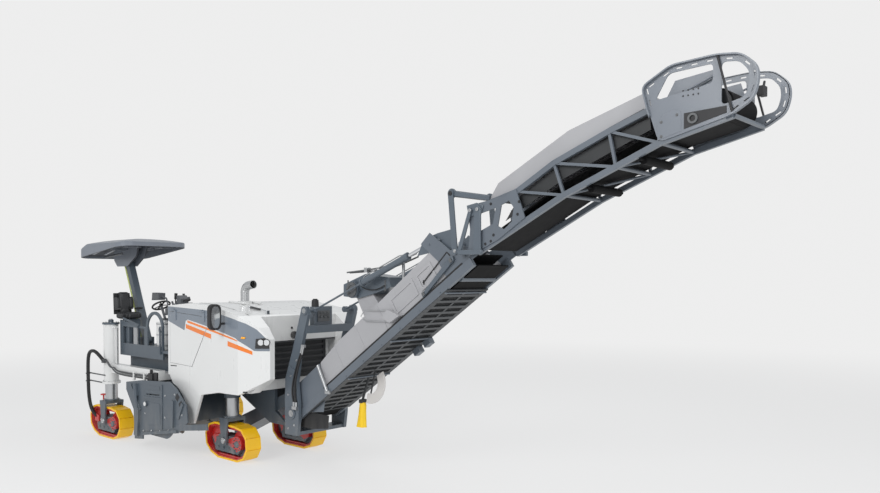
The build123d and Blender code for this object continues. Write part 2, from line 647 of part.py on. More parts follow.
def along_wheel(distance):
    """Point on the steering column's axis, measured up from the wheel's centre."""
    x, y, z = WHEEL_CENTRE
    tilt = radians(WHEEL_TILT)
    return (x - distance * sin(tilt), y, z + distance * cos(tilt))


parts["console"] = (
    plate([(-1560, PLATFORM_FLOOR), (-1420, PLATFORM_FLOOR), (-1420, 2330), (-1560, 2400), (-1900, 2290),
           (-1900, 2180), (-1600, 2200)], -560, 320)
    + block(-2160, -2060, -650, -550, PLATFORM_FLOOR, 2120)
    + rod(along_wheel(-15), along_wheel(-260), 44)
)
rim = revolve(Plane.XZ * Pos(WHEEL_RADIUS, 0) * RegularPolygon(16, 6), Axis.Z)
wheel_form = rim + Cylinder(30, 30) + Box(2 * WHEEL_RADIUS, 24, 14)
parts["steering_wheel"] = Pos(*along_wheel(0.2)) * Rot(0, -WHEEL_TILT, 0) * wheel_form

link_foot = (MAST_FOOT[0] - LINK_OFFSET, MAST_FOOT[1])
link_head = (MAST_HEAD[0] - LINK_OFFSET, MAST_HEAD[1])
cheek_in = MAST_WIDE / 2 + MAST_SIDE_GAP
cheek_out = cheek_in + MAST_CHEEK


def canopy_bar(foot, head, body, wide, boss):
    """Bar of the roof linkage with an eye at each end."""
    for x, z in (foot, head):
        body += across(x, z, MAST_Y - wide / 2, MAST_Y + wide / 2, boss)
    for x, z in (foot, head):
        body -= across(x, z, MAST_Y - wide, MAST_Y + wide, MAST_PIN + 2 * PIN_GAP)
    return body


mast = beam(MAST_FOOT, MAST_HEAD, MAST_Y, MAST_WIDE, MAST_DEEP)
parts["canopy_mast"] = canopy_bar(MAST_FOOT, MAST_HEAD, mast, MAST_WIDE, MAST_DEEP)
link = rod((link_foot[0], MAST_Y, link_foot[1]), (link_head[0], MAST_Y, link_head[1]), LINK_DIAMETER)
parts["canopy_link"] = canopy_bar(link_foot, link_head, link, MAST_WIDE / 2, 1.6 * LINK_DIAMETER)
bracket = block(link_foot[0] - 50, MAST_FOOT[0] + 60, MAST_Y + cheek_in, MAST_Y + cheek_out, PLATFORM_FLOOR, 1760)
bracket += block(link_foot[0] - 50, MAST_FOOT[0] + 60, MAST_Y - cheek_out, MAST_Y - cheek_in, PLATFORM_FLOOR, 1760)
for x, z in (MAST_FOOT, link_foot):
    bracket += across(x, z, MAST_Y - cheek_out, MAST_Y + cheek_out, MAST_PIN)
parts["mast_bracket"] = bracket


def canopy_form(inset, drop):
    """Roof form: side arch, cross camber and rounded plan crossed, smaller by inset and lowered by drop."""
    rear, front = CANOPY_REAR + inset - CANOPY_OVER, CANOPY_FRONT - inset + CANOPY_OVER
    half = CANOPY_HALF - inset + CANOPY_OVER
    crown = (CANOPY_CROWN[0], CANOPY_CROWN[1] - drop)
    rear_top, front_top = (rear, CANOPY_REAR_TOP - drop), (front, CANOPY_FRONT_TOP - drop)
    rear_low, front_low = (rear, CANOPY_REAR_LOW - drop), (front, CANOPY_FRONT_LOW - drop)
    side = make_face(Wire([
        ThreePointArc(rear_top, crown, front_top).edge(), Line(front_top, front_low).edge(),
        Line(front_low, rear_low).edge(), Line(rear_low, rear_top).edge(),
    ]).edges())
    form = Pos(0, CANOPY_Y, 0) * extrude(Plane.XZ * side, amount=half, both=True)
    eave, floor = crown[1] - CANOPY_CAMBER, CANOPY_REAR_LOW - 2 * drop - 100
    front_view = make_face(Wire([
        ThreePointArc((-half, eave), (0, crown[1] + 5), (half, eave)).edge(), Line((half, eave), (half, floor)).edge(),
        Line((half, floor), (-half, floor)).edge(), Line((-half, floor), (-half, eave)).edge(),
    ]).edges())
    form &= Plane(origin=(rear - 10, CANOPY_Y, 0), x_dir=(0, 1, 0), z_dir=(1, 0, 0)) * extrude(front_view, amount=2000)
    long, wide = front - rear - 2 * CANOPY_OVER, 2 * (half - CANOPY_OVER)
    plan = Pos((rear + front) / 2, CANOPY_Y) * RectangleRounded(long, wide, CANOPY_CORNER - inset)
    return form & (Pos(0, 0, 2800) * extrude(plan, amount=1000))


def make_canopy():
    """Domed roof shell with its rim, and the cheeks that the mast carries."""
    shape = canopy_form(0, 0) - canopy_form(CANOPY_WALL, CANOPY_WALL)
    core = canopy_form(CANOPY_WALL / 2, CANOPY_WALL / 2)
    head_x, head_z = MAST_HEAD
    cheek = [(head_x - 300, head_z - 50), (head_x + 90, head_z - 50), (head_x + 420, head_z + 140),
             (head_x + 600, 3600), (head_x - 420, 3600), (head_x - 420, head_z + 60)]
    under = core + block(head_x - 450, head_x + 650, CANOPY_Y - 200, CANOPY_Y + 200, 3000, 3345)
    for side in (-1, 1):
        y = MAST_Y + side * (cheek_in + MAST_CHEEK / 2)
        shape += plate(cheek, y, MAST_CHEEK) & under
    brace = block(head_x - 40, head_x + 120, CANOPY_Y - 420, CANOPY_Y + 420, 3330, 3600)
    brace -= block(head_x - 50, head_x + 130, MAST_Y - cheek_in, MAST_Y + cheek_in, 3300, 3380)
    shape += brace & core
    for x, z in (MAST_HEAD, link_head):
        shape += across(x, z, MAST_Y - cheek_out, MAST_Y + cheek_out, MAST_PIN)
    return shape


parts["canopy_roof"] = make_canopy()


def make_primary_conveyor():
    """Short feed conveyor through the chassis from the drum box to the loading conveyor."""
    belly = [(-620, 250), (-560, 250), (900, 905), (1180, 930), (1180, 1130), (1060, 1160), (-620, 480)]
    trough = [(-640, 330), (-560, 300), (880, 940), (1160, 965), (1190, 1180), (1040, 1200), (-640, 520)]
    return plate(belly, 0, 2 * FEED_HALF) - plate(trough, 0, 2 * FEED_HALF - 40)


parts["primary_conveyor"] = make_primary_conveyor()

pipe_x, pipe_y, pipe_foot = -150, -300, 2395
pipe_line = FilletPolyline((pipe_x, pipe_y, pipe_foot), (pipe_x, pipe_y, 2690), (pipe_x + 230, pipe_y, 2720), radius=120)
pipe_end = Plane(origin=pipe_line @ 0, z_dir=pipe_line % 0)
parts["exhaust_pipe"] = (
    sweep(pipe_end * Circle(EXHAUST_RADIUS), path=pipe_line)
    - sweep(pipe_end * Circle(EXHAUST_RADIUS - 8), path=pipe_line)
    + Pos(pipe_x, pipe_y, 2425) * (Cylinder(EXHAUST_RADIUS + 45, 50) - Cylinder(EXHAUST_RADIUS - 8, 50))
    - parts["hood"]
)
grille = block(RECESS_X, RECESS_X + 30, -640, 640, 1270, 1840)
for z in range(1330, 1800, 90):
    grille -= block(RECESS_X + 12, RECESS_X + 40, -590, 590, z, z + 45)
parts["radiator_grille"] = grille
mirror_y = -BODY_HALF - MIRROR_OUT
parts["mirror"] = (
    Pos(500, mirror_y, 2250) * fillet(Box(70, 190, 380).edges().filter_by(Axis.X), 80)
    + rod((500, -BODY_HALF - RUN_GAP, 2150), (500, mirror_y, 2150), 34)
)
bend = Vector(BODY_NOSE_X - BODY_BEND_X, BODY_HALF - BODY_NOSE_HALF)
bend_out = Vector(bend.Y, -bend.X).normalized()
lamps = None
for share in (0.72, 0.9):
    spot = Vector(BODY_BEND_X, -BODY_HALF, 1890) + bend * share + bend_out * RUN_GAP
    lamp = Plane(origin=spot, z_dir=bend_out) * Pos(0, 0, 12) * Cylinder(42, 24)
    lamps = lamp if lamps is None else lamps + lamp
parts["headlamps"] = lamps


def make_tower():
    """Slewing tower: base on the bearing, side plates with the foot pins, and two arms."""
    base_low = TONGUE_LOW - TOWER_GAP - 50
    shape = Pos(SLEW_X, 0, base_low + 25) * Cylinder(BEARING_RADIUS, 50)
    shape += block(SLEW_X, SLEW_X + 260, -TOWER_Y - TOWER_THICK / 2, TOWER_Y + TOWER_THICK / 2, base_low, base_low + 50)
    outline = [
        (SLEW_X, base_low), (SLEW_X + 280, base_low), (1440, 760), (1440, 980), (1400, 1300), (1470, 1700),
        (1660, 2300), (1630, 2410), (1550, 2410), (1500, 2330), (1300, 1750), (1130, 1330), (1120, 1000),
    ]
    shape += both_sides(plate(outline, TOWER_Y, TOWER_THICK))
    shape += across(FOOT[0], FOOT[1], -TOWER_Y, -CONVEYOR_HALF - RAIL_WIDE / 2 + 20, 60)
    shape += across(FOOT[0], FOOT[1], CONVEYOR_HALF + RAIL_WIDE / 2 - 20, TOWER_Y, 60)
    shape += both_sides(across(TOWER_HEAD[0], TOWER_HEAD[1], -TOWER_Y, -STAY_Y + 35, 50))
    shape += block(1500, 1600, -TOWER_Y, TOWER_Y, 2020, 2130) + block(1440, 1540, -260, 80, 2120, 2400)
    return shape + both_sides(beam((1235, 1500), (1400, 1440), TOWER_Y + 10, TOWER_THICK + 20, 60))


parts["slew_tower"] = make_tower()

rail_mid = RAIL_TOP - RAIL_DEEP / 2


def make_lower_frame():
    """Rails, hopper sides, cross tubes and the plates that carry the fold pins."""
    side = beam(at_slope(-100, rail_mid), at_slope(LOWER_LENGTH - 60, rail_mid), LOWER_RAIL_Y, RAIL_WIDE, RAIL_DEEP)
    hopper = sloped([(-80, RAIL_TOP), (COVER_START, RAIL_TOP), (COVER_START + 120, 330), (250, 330), (-80, 120)])
    side += plate(hopper, CONVEYOR_HALF, 16)
    tip = LOWER_LENGTH + 40
    end = sloped([(tip - 551, RAIL_TOP), (tip, -50), (tip, 50), (tip - 151, 200), (tip - 311, 240), (tip - 471, 620),
                  (tip - 671, 590), (tip - 551, 240)])
    side += plate(end, END_PLATE_Y, END_PLATE_THICK)
    side += across(ROCKER_PIN[0], ROCKER_PIN[1], END_PLATE_Y, ROCKER_Y + ROCKER_THICK / 2, 50)
    side += across(FOLD_PIN[0], FOLD_PIN[1], END_PLATE_Y, OUTER_JOINT_Y + 8, 50)
    side -= across(FOOT[0], FOOT[1], 0, 600, 61)
    shape = both_sides(side)
    for s in (500, 1350, 2200, 3050, 3850):
        x, z = at_slope(s, -40)
        shape += across(x, z, -LOWER_RAIL_Y, LOWER_RAIL_Y, 50)
    x, z = at_slope(20, -40)
    shape += across(x, z, -LOWER_RAIL_Y + 20, LOWER_RAIL_Y - 20, 2 * (TAIL_RADIUS - BELT_THICK - RUN_GAP))
    return shape


parts["lower_frame"] = make_lower_frame()


COVER_OUTLINE = [(COVER_START, -10), (COVER_END, -10), (COVER_END - 128, 298), (COVER_END - 355, 427),
                 (2437, 405), (1384, COVER_HEIGHT), (884, 343), (COVER_START, 150)]
COVER_HATCHES = [(2560, 3060), (3120, 3440)]
BLOWER_HALF = 180
BLOWER_SIDE = [(2100, 2560), (2420, 2540), (2700, 2600), (3060, 2700), (3010, 2830), (2560, 2880), (2100, 2730)]


def make_lower_cover():
    """Light cover over the belt, open towards it, with its duct, box on the side and hatch rims."""
    width = 2 * (END_PLATE_Y - END_PLATE_THICK / 2 - RUN_GAP)
    outer = plate(sloped(COVER_OUTLINE), 0, width)
    hollow = [(COVER_START - 20, -20), (COVER_END + 20, -20)]
    hollow += [(s + (20 if s > 3000 else -20 if s < 1000 else 0), n - COVER_SHEET) for s, n in COVER_OUTLINE[2:]]
    shape = outer - plate(sloped(hollow), 0, width - 2 * COVER_SHEET)
    duct = plate([(2330, 2570), (2640, 2640), at_slope(2190, COVER_HEIGHT), at_slope(1820, COVER_HEIGHT)], 0, 300)
    shape += duct - plate(BLOWER_SIDE, 0, 2 * BLOWER_HALF)
    side = width / 2
    for start, end in COVER_HATCHES:
        rim = sloped([(start, 90), (end, 90), (end, 330), (start, 330)])
        hole = sloped([(start + 40, 130), (end - 40, 130), (end - 40, 290), (start + 40, 290)])
        shape += both_sides(plate(rim, side + 5, 10, (hole,)))
    box = [(3250, 2410), (3480, 2340), (3300, 2240), (3160, 2300)]
    return shape + plate(box, -side - 40, 80)


parts["lower_cover"] = make_lower_cover()


def make_lower_belt():
    """Belt of the lower section: carrying run, turn round the tail drum and return run."""
    top_n, low_n = -40 + TAIL_RADIUS, -40 - TAIL_RADIUS
    end = LOWER_LENGTH - 70
    runs = [top_n - BELT_THICK / 2, low_n + BELT_THICK / 2]
    top, low = [beam(at_slope(20, n), at_slope(end, n), 0, BELT_WIDTH, BELT_THICK) for n in runs]
    x, z = at_slope(20, -40)
    turn = across(x, z, -BELT_WIDTH / 2, BELT_WIDTH / 2, 2 * TAIL_RADIUS)
    turn -= across(x, z, -BELT_WIDTH / 2, BELT_WIDTH / 2, 2 * (TAIL_RADIUS - BELT_THICK))
    half = plate(sloped([(20, -300), (20, 300), (-300, 300), (-300, -300)]), 0, BELT_WIDTH + 10)
    return top + low + (turn & half)


parts["lower_belt"] = make_lower_belt()
guard_n = RAIL_TOP - RAIL_DEEP - 8
GUARD_START = 250
GUARD_END = 3500


def make_lower_guard():
    """Slotted sheet under the return run."""
    pitch = (GUARD_END - GUARD_START) / GUARD_SLOTS
    shape = beam(at_slope(GUARD_START, guard_n), at_slope(GUARD_END, guard_n), 0, 2 * LOWER_RAIL_Y + RAIL_WIDE, 14)
    width = LOWER_RAIL_Y - RAIL_WIDE / 2 - 60
    slots = []
    for k in range(GUARD_SLOTS):
        start = GUARD_START + k * pitch + GUARD_BAR / 2
        for side in (-1, 1):
            middle = side * (width / 2 + 20)
            slots.append(beam(at_slope(start, guard_n), at_slope(start + pitch - GUARD_BAR, guard_n), middle, width, 30))
    return shape - slots


parts["lower_guard"] = make_lower_guard()


def make_blower():
    """Dust fan's housing on the duct: a bent box with its round fan end and the pipe to the rear."""
    shape = plate(BLOWER_SIDE, 0, 2 * BLOWER_HALF)
    return shape + across(2330, 2660, -230, -175, 240) + rod((2110, 60, 2650), (1980, 60, 2600), 150)


parts["blower"] = make_blower()

stay_way = (STAY_EYE[0] - TOWER_HEAD[0], STAY_EYE[1] - TOWER_HEAD[1])
stay_long = hypot(*stay_way)


def on_stay(distance):
    return (TOWER_HEAD[0] + stay_way[0] * distance / stay_long, TOWER_HEAD[1] + stay_way[1] * distance / stay_long)


def stay_piece(start, end, diameter, y=STAY_Y):
    (x0, z0), (x1, z1) = on_stay(start), on_stay(end)
    return rod((x0, y, z0), (x1, y, z1), diameter)


barrel = stay_piece(30, STAY_BARREL_START + 20, 28) + stay_piece(STAY_BARREL_START, 2050, 90)
barrel += across(TOWER_HEAD[0], TOWER_HEAD[1], STAY_Y - 30, STAY_Y + 30, 90)
barrel -= across(TOWER_HEAD[0], TOWER_HEAD[1], STAY_Y - 40, STAY_Y + 40, 51)
barrel -= stay_piece(1300, 2060, 51)
parts["lift_barrels"] = both_sides(barrel)
eye_rod = stay_piece(1480, stay_long - 40, 50) + across(STAY_EYE[0], STAY_EYE[1], STAY_Y - 25, STAY_Y + 25, 90)
eye_rod -= across(STAY_EYE[0], STAY_EYE[1], STAY_Y - 40, STAY_Y + 40, 51)
parts["lift_rods"] = both_sides(eye_rod)

rocker_side = beam(ROCKER_PIN, ROCKER_HEAD, ROCKER_Y, ROCKER_THICK, 80)
rocker_side += across(ROCKER_PIN[0], ROCKER_PIN[1], ROCKER_Y - ROCKER_THICK / 2, ROCKER_Y + ROCKER_THICK / 2, 90)
rocker_side -= across(ROCKER_PIN[0], ROCKER_PIN[1], 300, 500, 51)
parts["fold_rocker"] = both_sides(rocker_side) + across(*ROCKER_HEAD, -405, 405, HEAD_DIAMETER)
tie_side = beam(ROCKER_HEAD, TIE_END, TIE_Y, 24, 50) + across(*ROCKER_HEAD, TIE_Y - 12, TIE_Y + 12, TIE_BOSS)
parts["fold_tie"] = both_sides(tie_side - across(*ROCKER_HEAD, 300, 400, HEAD_DIAMETER + 1))


def make_outer_frame():
    """Truss sides of the outer section with the joint plates and cross tubes."""
    side = None
    for chord in (OUTER_LOW, OUTER_TOP):
        for start, end in zip(chord, chord[1:]):
            piece = beam(start, end, CONVEYOR_HALF, TRUSS_WIDE, 60)
            side = piece if side is None else side + piece
    for up, down in ((1, 1), (2, 1), (2, 2), (3, 2), (3, 3)):
        side += beam(OUTER_TOP[up], OUTER_LOW[down], CONVEYOR_HALF, 30, 30)
    joint = past_fold([(-40, -45), (410, 150), (780, 380), (650, 710), (510, 640), (110, 580), (-50, 530), (-10, 280)])
    bays = [past_fold([(400, 300), (490, 260), (600, 345), (625, 500), (560, 580), (450, 540)]),
            past_fold([(110, 240), (330, 330), (370, 510), (150, 460)])]
    side += plate(joint, OUTER_JOINT_Y, 16, bays) - across(FOLD_PIN[0], FOLD_PIN[1], 300, 500, 51)
    shape = both_sides(side)
    for x, z in OUTER_LOW[1:] + OUTER_TOP[2:4]:
        shape += across(x, z, -CONVEYOR_HALF, CONVEYOR_HALF, CROSS_TUBE)
    return shape


parts["outer_frame"] = make_outer_frame()
cover_top = past_fold([(210, 600), (350, 800), (1300, 1290), (2180, 1550), (2250, 1360)])
cover_under = past_fold([(200, 580), (370, 780), (1305, 1270), (2160, 1520), (2260, 1280)])
lip_out, lip_in = CONVEYOR_HALF - TRUSS_WIDE / 2, OUTER_COVER_HALF
parts["outer_cover"] = (
    plate(cover_top + OUTER_TOP[3:0:-1], 0, 2 * OUTER_COVER_HALF)
    - plate(cover_under + [(x, z - 80) for x, z in OUTER_TOP[3:0:-1]], 0, 2 * OUTER_COVER_HALF - 24)
    + both_sides(beam(OUTER_TOP[1], OUTER_TOP[2], (lip_in + lip_out) / 2, lip_out - lip_in, 40))
)
for x, z in OUTER_TOP[2:4]:
    parts["outer_cover"] -= across(x, z, -CONVEYOR_HALF, CONVEYOR_HALF, CROSS_TUBE + 2 * RUN_GAP)
belt_top = past_fold([(130, 160), (1250, 760), (1880, 1010), (2370, 1200), (2850, 1475)])
belt_low = past_fold([(130, 40), (1280, 640), (1900, 890), (2380, 1080), (2950, 1200)])
outer_belt = None
for line in (belt_top, belt_low):
    for start, end in zip(line, line[1:]):
        piece = beam(start, end, 0, BELT_WIDTH, BELT_THICK)
        outer_belt = piece if outer_belt is None else outer_belt + piece
outer_belt += (
    across(HEAD_DRUM[0], HEAD_DRUM[1], -BELT_WIDTH / 2, BELT_WIDTH / 2, 2 * HEAD_RADIUS)
    - across(HEAD_DRUM[0], HEAD_DRUM[1], -BELT_WIDTH / 2, BELT_WIDTH / 2, 2 * (HEAD_RADIUS - BELT_THICK))
)
parts["outer_belt"] = outer_belt
drum_half, drum_diameter = BELT_WIDTH / 2 + 20, 2 * (HEAD_RADIUS - BELT_THICK - RUN_GAP)
parts["head_drum"] = (
    across(HEAD_DRUM[0], HEAD_DRUM[1], -drum_half, drum_half, drum_diameter)
    + across(HEAD_DRUM[0], HEAD_DRUM[1], -CONVEYOR_HALF - TRUSS_WIDE / 2, CONVEYOR_HALF + TRUSS_WIDE / 2, 90)
)


def make_guards():
    """Plate guards round the discharge end, each with its slotted rim, divider bar and bearing."""
    big, front = [past_fold(hole) for hole in (
        [(2330, 1440), (2470, 1680), (2910, 1700), (2910, 1520)],
        [(2990, 1700), (3150, 1680), (3240, 1580), (3250, 1480), (3210, 1350), (2990, 1300)],
    )]
    guard_y = CONVEYOR_HALF + TRUSS_WIDE / 2 + GUARD_THICK / 2
    side = plate(GUARD_OUTLINE, guard_y, GUARD_THICK, (big, front))
    ring = GUARD_OUTLINE[:9]
    slots = []
    length = sum(hypot(b[0] - a[0], b[1] - a[1]) for a, b in zip(ring, ring[1:]))
    for start, end in zip(ring, ring[1:]):
        side += beam(start, end, guard_y + RIM_WIDE / 2, RIM_WIDE, 14)
        run = hypot(end[0] - start[0], end[1] - start[1])
        count = max(1, round(run / length * RIM_SLOTS))
        way = Vector(end[0] - start[0], end[1] - start[1]) / run
        for k in range(count):
            a, b = (k + 0.22) * run / count, (k + 0.78) * run / count
            piece = beam((start[0] + way.X * a, start[1] + way.Y * a), (start[0] + way.X * b, start[1] + way.Y * b),
                         guard_y + RIM_WIDE / 2 + 4, RIM_WIDE - 24, 40)
            slots.append(piece)
    side = side - slots
    return both_sides(side)


parts["discharge_guards"] = make_guards()

low = [1e9, 1e9, 1e9]
high = [-1e9, -1e9, -1e9]
for shape in parts.values():
    box = shape.bounding_box()
    low = [min(a, b) for a, b in zip(low, box.min)]
    high = [max(a, b) for a, b in zip(high, box.max)]
ORIGIN = ((low[0] + high[0]) / 2, (low[1] + high[1]) / 2, low[2])

os.makedirs("parts", exist_ok=True)
for name, shape in parts.items():
    export_step(Pos(-ORIGIN[0], -ORIGIN[1], -ORIGIN[2]) * shape, f"parts/{name}.step")
print("origin", [round(v, 3) for v in ORIGIN], "size", [round(b - a) for a, b in zip(low, high)])
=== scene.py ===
import json
from math import cos, hypot, pi, radians, sin

import bmesh
import bpy
from mathutils import Matrix, Vector
from mathutils.geometry import tessellate_polygon


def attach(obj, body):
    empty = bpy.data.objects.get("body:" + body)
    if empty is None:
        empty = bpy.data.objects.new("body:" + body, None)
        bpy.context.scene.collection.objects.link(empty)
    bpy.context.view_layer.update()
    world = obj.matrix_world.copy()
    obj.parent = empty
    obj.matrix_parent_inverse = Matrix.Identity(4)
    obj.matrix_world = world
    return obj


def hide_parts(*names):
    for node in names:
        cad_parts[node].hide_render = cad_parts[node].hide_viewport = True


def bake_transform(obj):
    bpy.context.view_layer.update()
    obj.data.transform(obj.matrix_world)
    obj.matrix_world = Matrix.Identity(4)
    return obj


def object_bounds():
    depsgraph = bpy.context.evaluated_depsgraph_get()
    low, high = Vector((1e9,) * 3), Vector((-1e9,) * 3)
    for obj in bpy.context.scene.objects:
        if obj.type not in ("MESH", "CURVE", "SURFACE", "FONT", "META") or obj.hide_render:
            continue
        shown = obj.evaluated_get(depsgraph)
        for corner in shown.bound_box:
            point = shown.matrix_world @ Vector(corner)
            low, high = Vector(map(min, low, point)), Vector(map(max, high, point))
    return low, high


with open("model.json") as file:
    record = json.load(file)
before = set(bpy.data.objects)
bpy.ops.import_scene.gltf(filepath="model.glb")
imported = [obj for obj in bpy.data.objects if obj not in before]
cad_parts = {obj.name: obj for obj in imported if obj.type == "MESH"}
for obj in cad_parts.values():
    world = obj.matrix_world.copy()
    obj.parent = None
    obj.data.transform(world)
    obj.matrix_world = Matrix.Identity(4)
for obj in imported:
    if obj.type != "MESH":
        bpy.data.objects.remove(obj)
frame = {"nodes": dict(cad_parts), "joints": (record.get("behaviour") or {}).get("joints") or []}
cad_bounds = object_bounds()

# The machine is measured from the ground midway between its front legs: x forward, y to its left, z up,
# in metres. The steering joints give that place in the frame.
pivots = {joint["name"]: Vector(joint["pos_m"]) for joint in frame["joints"] if "pos_m" in joint}
front_middle = (pivots["front_right_steer"] + pivots["front_left_steer"]) / 2
datum = Vector((front_middle.x, front_middle.y, 0))


def at(x, y, z):
    return datum + Vector((x, y, z))


# Studio: an even pale backdrop and floor, a broad soft key from the camera's left, weaker ones from its
# right and from above, and light from all round, so that shaded sides stay readable.
BACKDROP = (0.852, 0.852, 0.852, 1)
CAMERA_PLACE = at(10.513, -7.546, 2.826)
CAMERA_YAW = 2.2993
CAMERA_PITCH = -0.0241
CAMERA_LENS = 31.864
CAMERA_SHIFT = 0.0568
KEY_POWER = 900
FILL_POWER = 470
TOP_POWER = 260
ROUND_LIGHT = 0.62
ROUND_COLOR = (0.96, 0.98, 1, 1)
FLOOR_RADIUS = 70
FLOOR_FADE = (9, 26)
FLOOR_GLOW = 0.68
FLOOR_GREY = (0.80, 0.80, 0.80, 1)

camera_data = bpy.data.cameras.new("camera")
camera_data.sensor_width = 36
camera_data.lens = CAMERA_LENS
camera_data.shift_y = CAMERA_SHIFT
camera_data.clip_end = 200
camera = bpy.data.objects.new("camera", camera_data)
camera.location = CAMERA_PLACE
camera.rotation_euler = (pi / 2 + CAMERA_PITCH, 0, CAMERA_YAW - pi / 2)
bpy.context.scene.collection.objects.link(camera)
bpy.context.scene.camera = camera
bpy.context.scene.view_settings.view_transform = "Standard"


def soft_light(name, place, aim, size, power):
    data = bpy.data.lights.new(name, "AREA")
    data.shape = "DISK"
    data.size = size
    data.energy = power
    light = bpy.data.objects.new(name, data)
    light.location = place
    light.rotation_euler = (Vector(aim) - Vector(place)).to_track_quat("-Z", "Y").to_euler()
    bpy.context.scene.collection.objects.link(light)


soft_light("key_light", at(4, -13, 9), at(0.5, 0, 1.5), 7, KEY_POWER)
soft_light("fill_light", at(15, -3, 8), at(3, 0, 2), 7, FILL_POWER)
soft_light("top_light", at(1, 4, 13), at(1, 0, 1), 9, TOP_POWER)


def nodes_of(tree, kinds):
    """Adds the named nodes to a node tree and returns them by name."""
    made = {}
    for name, kind in kinds.items():
        made[name] = tree.nodes.new(kind)
        made[name].name = name
    return made


world = bpy.data.worlds.new("studio")
bpy.context.scene.world = world
world.use_nodes = True
world.node_tree.nodes.clear()
n = nodes_of(world.node_tree, {
    "path": "ShaderNodeLightPath", "seen": "ShaderNodeBackground", "round": "ShaderNodeBackground",
    "either": "ShaderNodeMath", "mix": "ShaderNodeMixShader", "out": "ShaderNodeOutputWorld",
})
n["seen"].inputs["Color"].default_value = BACKDROP
n["round"].inputs["Color"].default_value = ROUND_COLOR
n["round"].inputs["Strength"].default_value = ROUND_LIGHT
n["either"].operation = "MAXIMUM"
link = world.node_tree.links.new
link(n["path"].outputs["Is Camera Ray"], n["either"].inputs[0])
link(n["path"].outputs["Is Transmission Ray"], n["either"].inputs[1])
link(n["either"].outputs[0], n["mix"].inputs[0])
link(n["round"].outputs[0], n["mix"].inputs[1])
link(n["seen"].outputs[0], n["mix"].inputs[2])
link(n["mix"].outputs[0], n["out"].inputs["Surface"])

floor_mesh = bpy.data.meshes.new("floor")
disk = bmesh.new()
bmesh.ops.create_circle(disk, cap_ends=True, segments=96, radius=FLOOR_RADIUS)
disk.to_mesh(floor_mesh)
disk.free()
floor = bpy.data.objects.new("floor", floor_mesh)
bpy.context.scene.collection.objects.link(floor)
floor_paint = bpy.data.materials.new("studio_floor")
floor_paint.use_nodes = True
floor_paint.node_tree.nodes.clear()
n = nodes_of(floor_paint.node_tree, {
    "place": "ShaderNodeTexCoord", "far": "ShaderNodeVectorMath", "fade": "ShaderNodeMapRange",
    "lit": "ShaderNodeBsdfDiffuse", "even": "ShaderNodeEmission", "mix": "ShaderNodeMixShader",
    "out": "ShaderNodeOutputMaterial",
})
n["far"].operation = "LENGTH"
n["fade"].interpolation_type = "SMOOTHSTEP"
n["fade"].inputs["From Min"].default_value = FLOOR_FADE[0]
n["fade"].inputs["From Max"].default_value = FLOOR_FADE[1]
n["fade"].inputs["To Min"].default_value = FLOOR_GLOW
n["lit"].inputs["Color"].default_value = FLOOR_GREY
n["even"].inputs["Color"].default_value = BACKDROP
link = floor_paint.node_tree.links.new
link(n["place"].outputs["Object"], n["far"].inputs[0])
link(n["far"].outputs["Value"], n["fade"].inputs["Value"])
link(n["fade"].outputs[0], n["mix"].inputs[0])
link(n["lit"].outputs[0], n["mix"].inputs[1])
link(n["even"].outputs[0], n["mix"].inputs[2])
link(n["mix"].outputs[0], n["out"].inputs["Surface"])
floor_mesh.materials.append(floor_paint)


# Chassis: welded steel deck, belly and tongue with the drum box and its side plates, in slate enamel whose
# edges go lighter, partly worn to primer and partly a painted highlight, and which is dusty low down.
SLATE = (0.072, 0.092, 0.114, 1)
SLATE_EDGE_WEAR_AND_HIGHLIGHT = (0.30, 0.33, 0.36, 1)
ROAD_DUST = (0.36, 0.34, 0.31, 1)


def group_tree(name, takes, gives):
    """Empty shader group with named inputs, as (kind, value), and outputs."""
    tree = bpy.data.node_groups.new(name, "ShaderNodeTree")
    for socket, (kind, value) in takes.items():
        made = tree.interface.new_socket(socket, in_out="INPUT", socket_type=f"NodeSocket{kind}")
        if value is not None:
            made.default_value = value
    for socket, kind in gives.items():
        tree.interface.new_socket(socket, in_out="OUTPUT", socket_type=f"NodeSocket{kind}")
    return tree


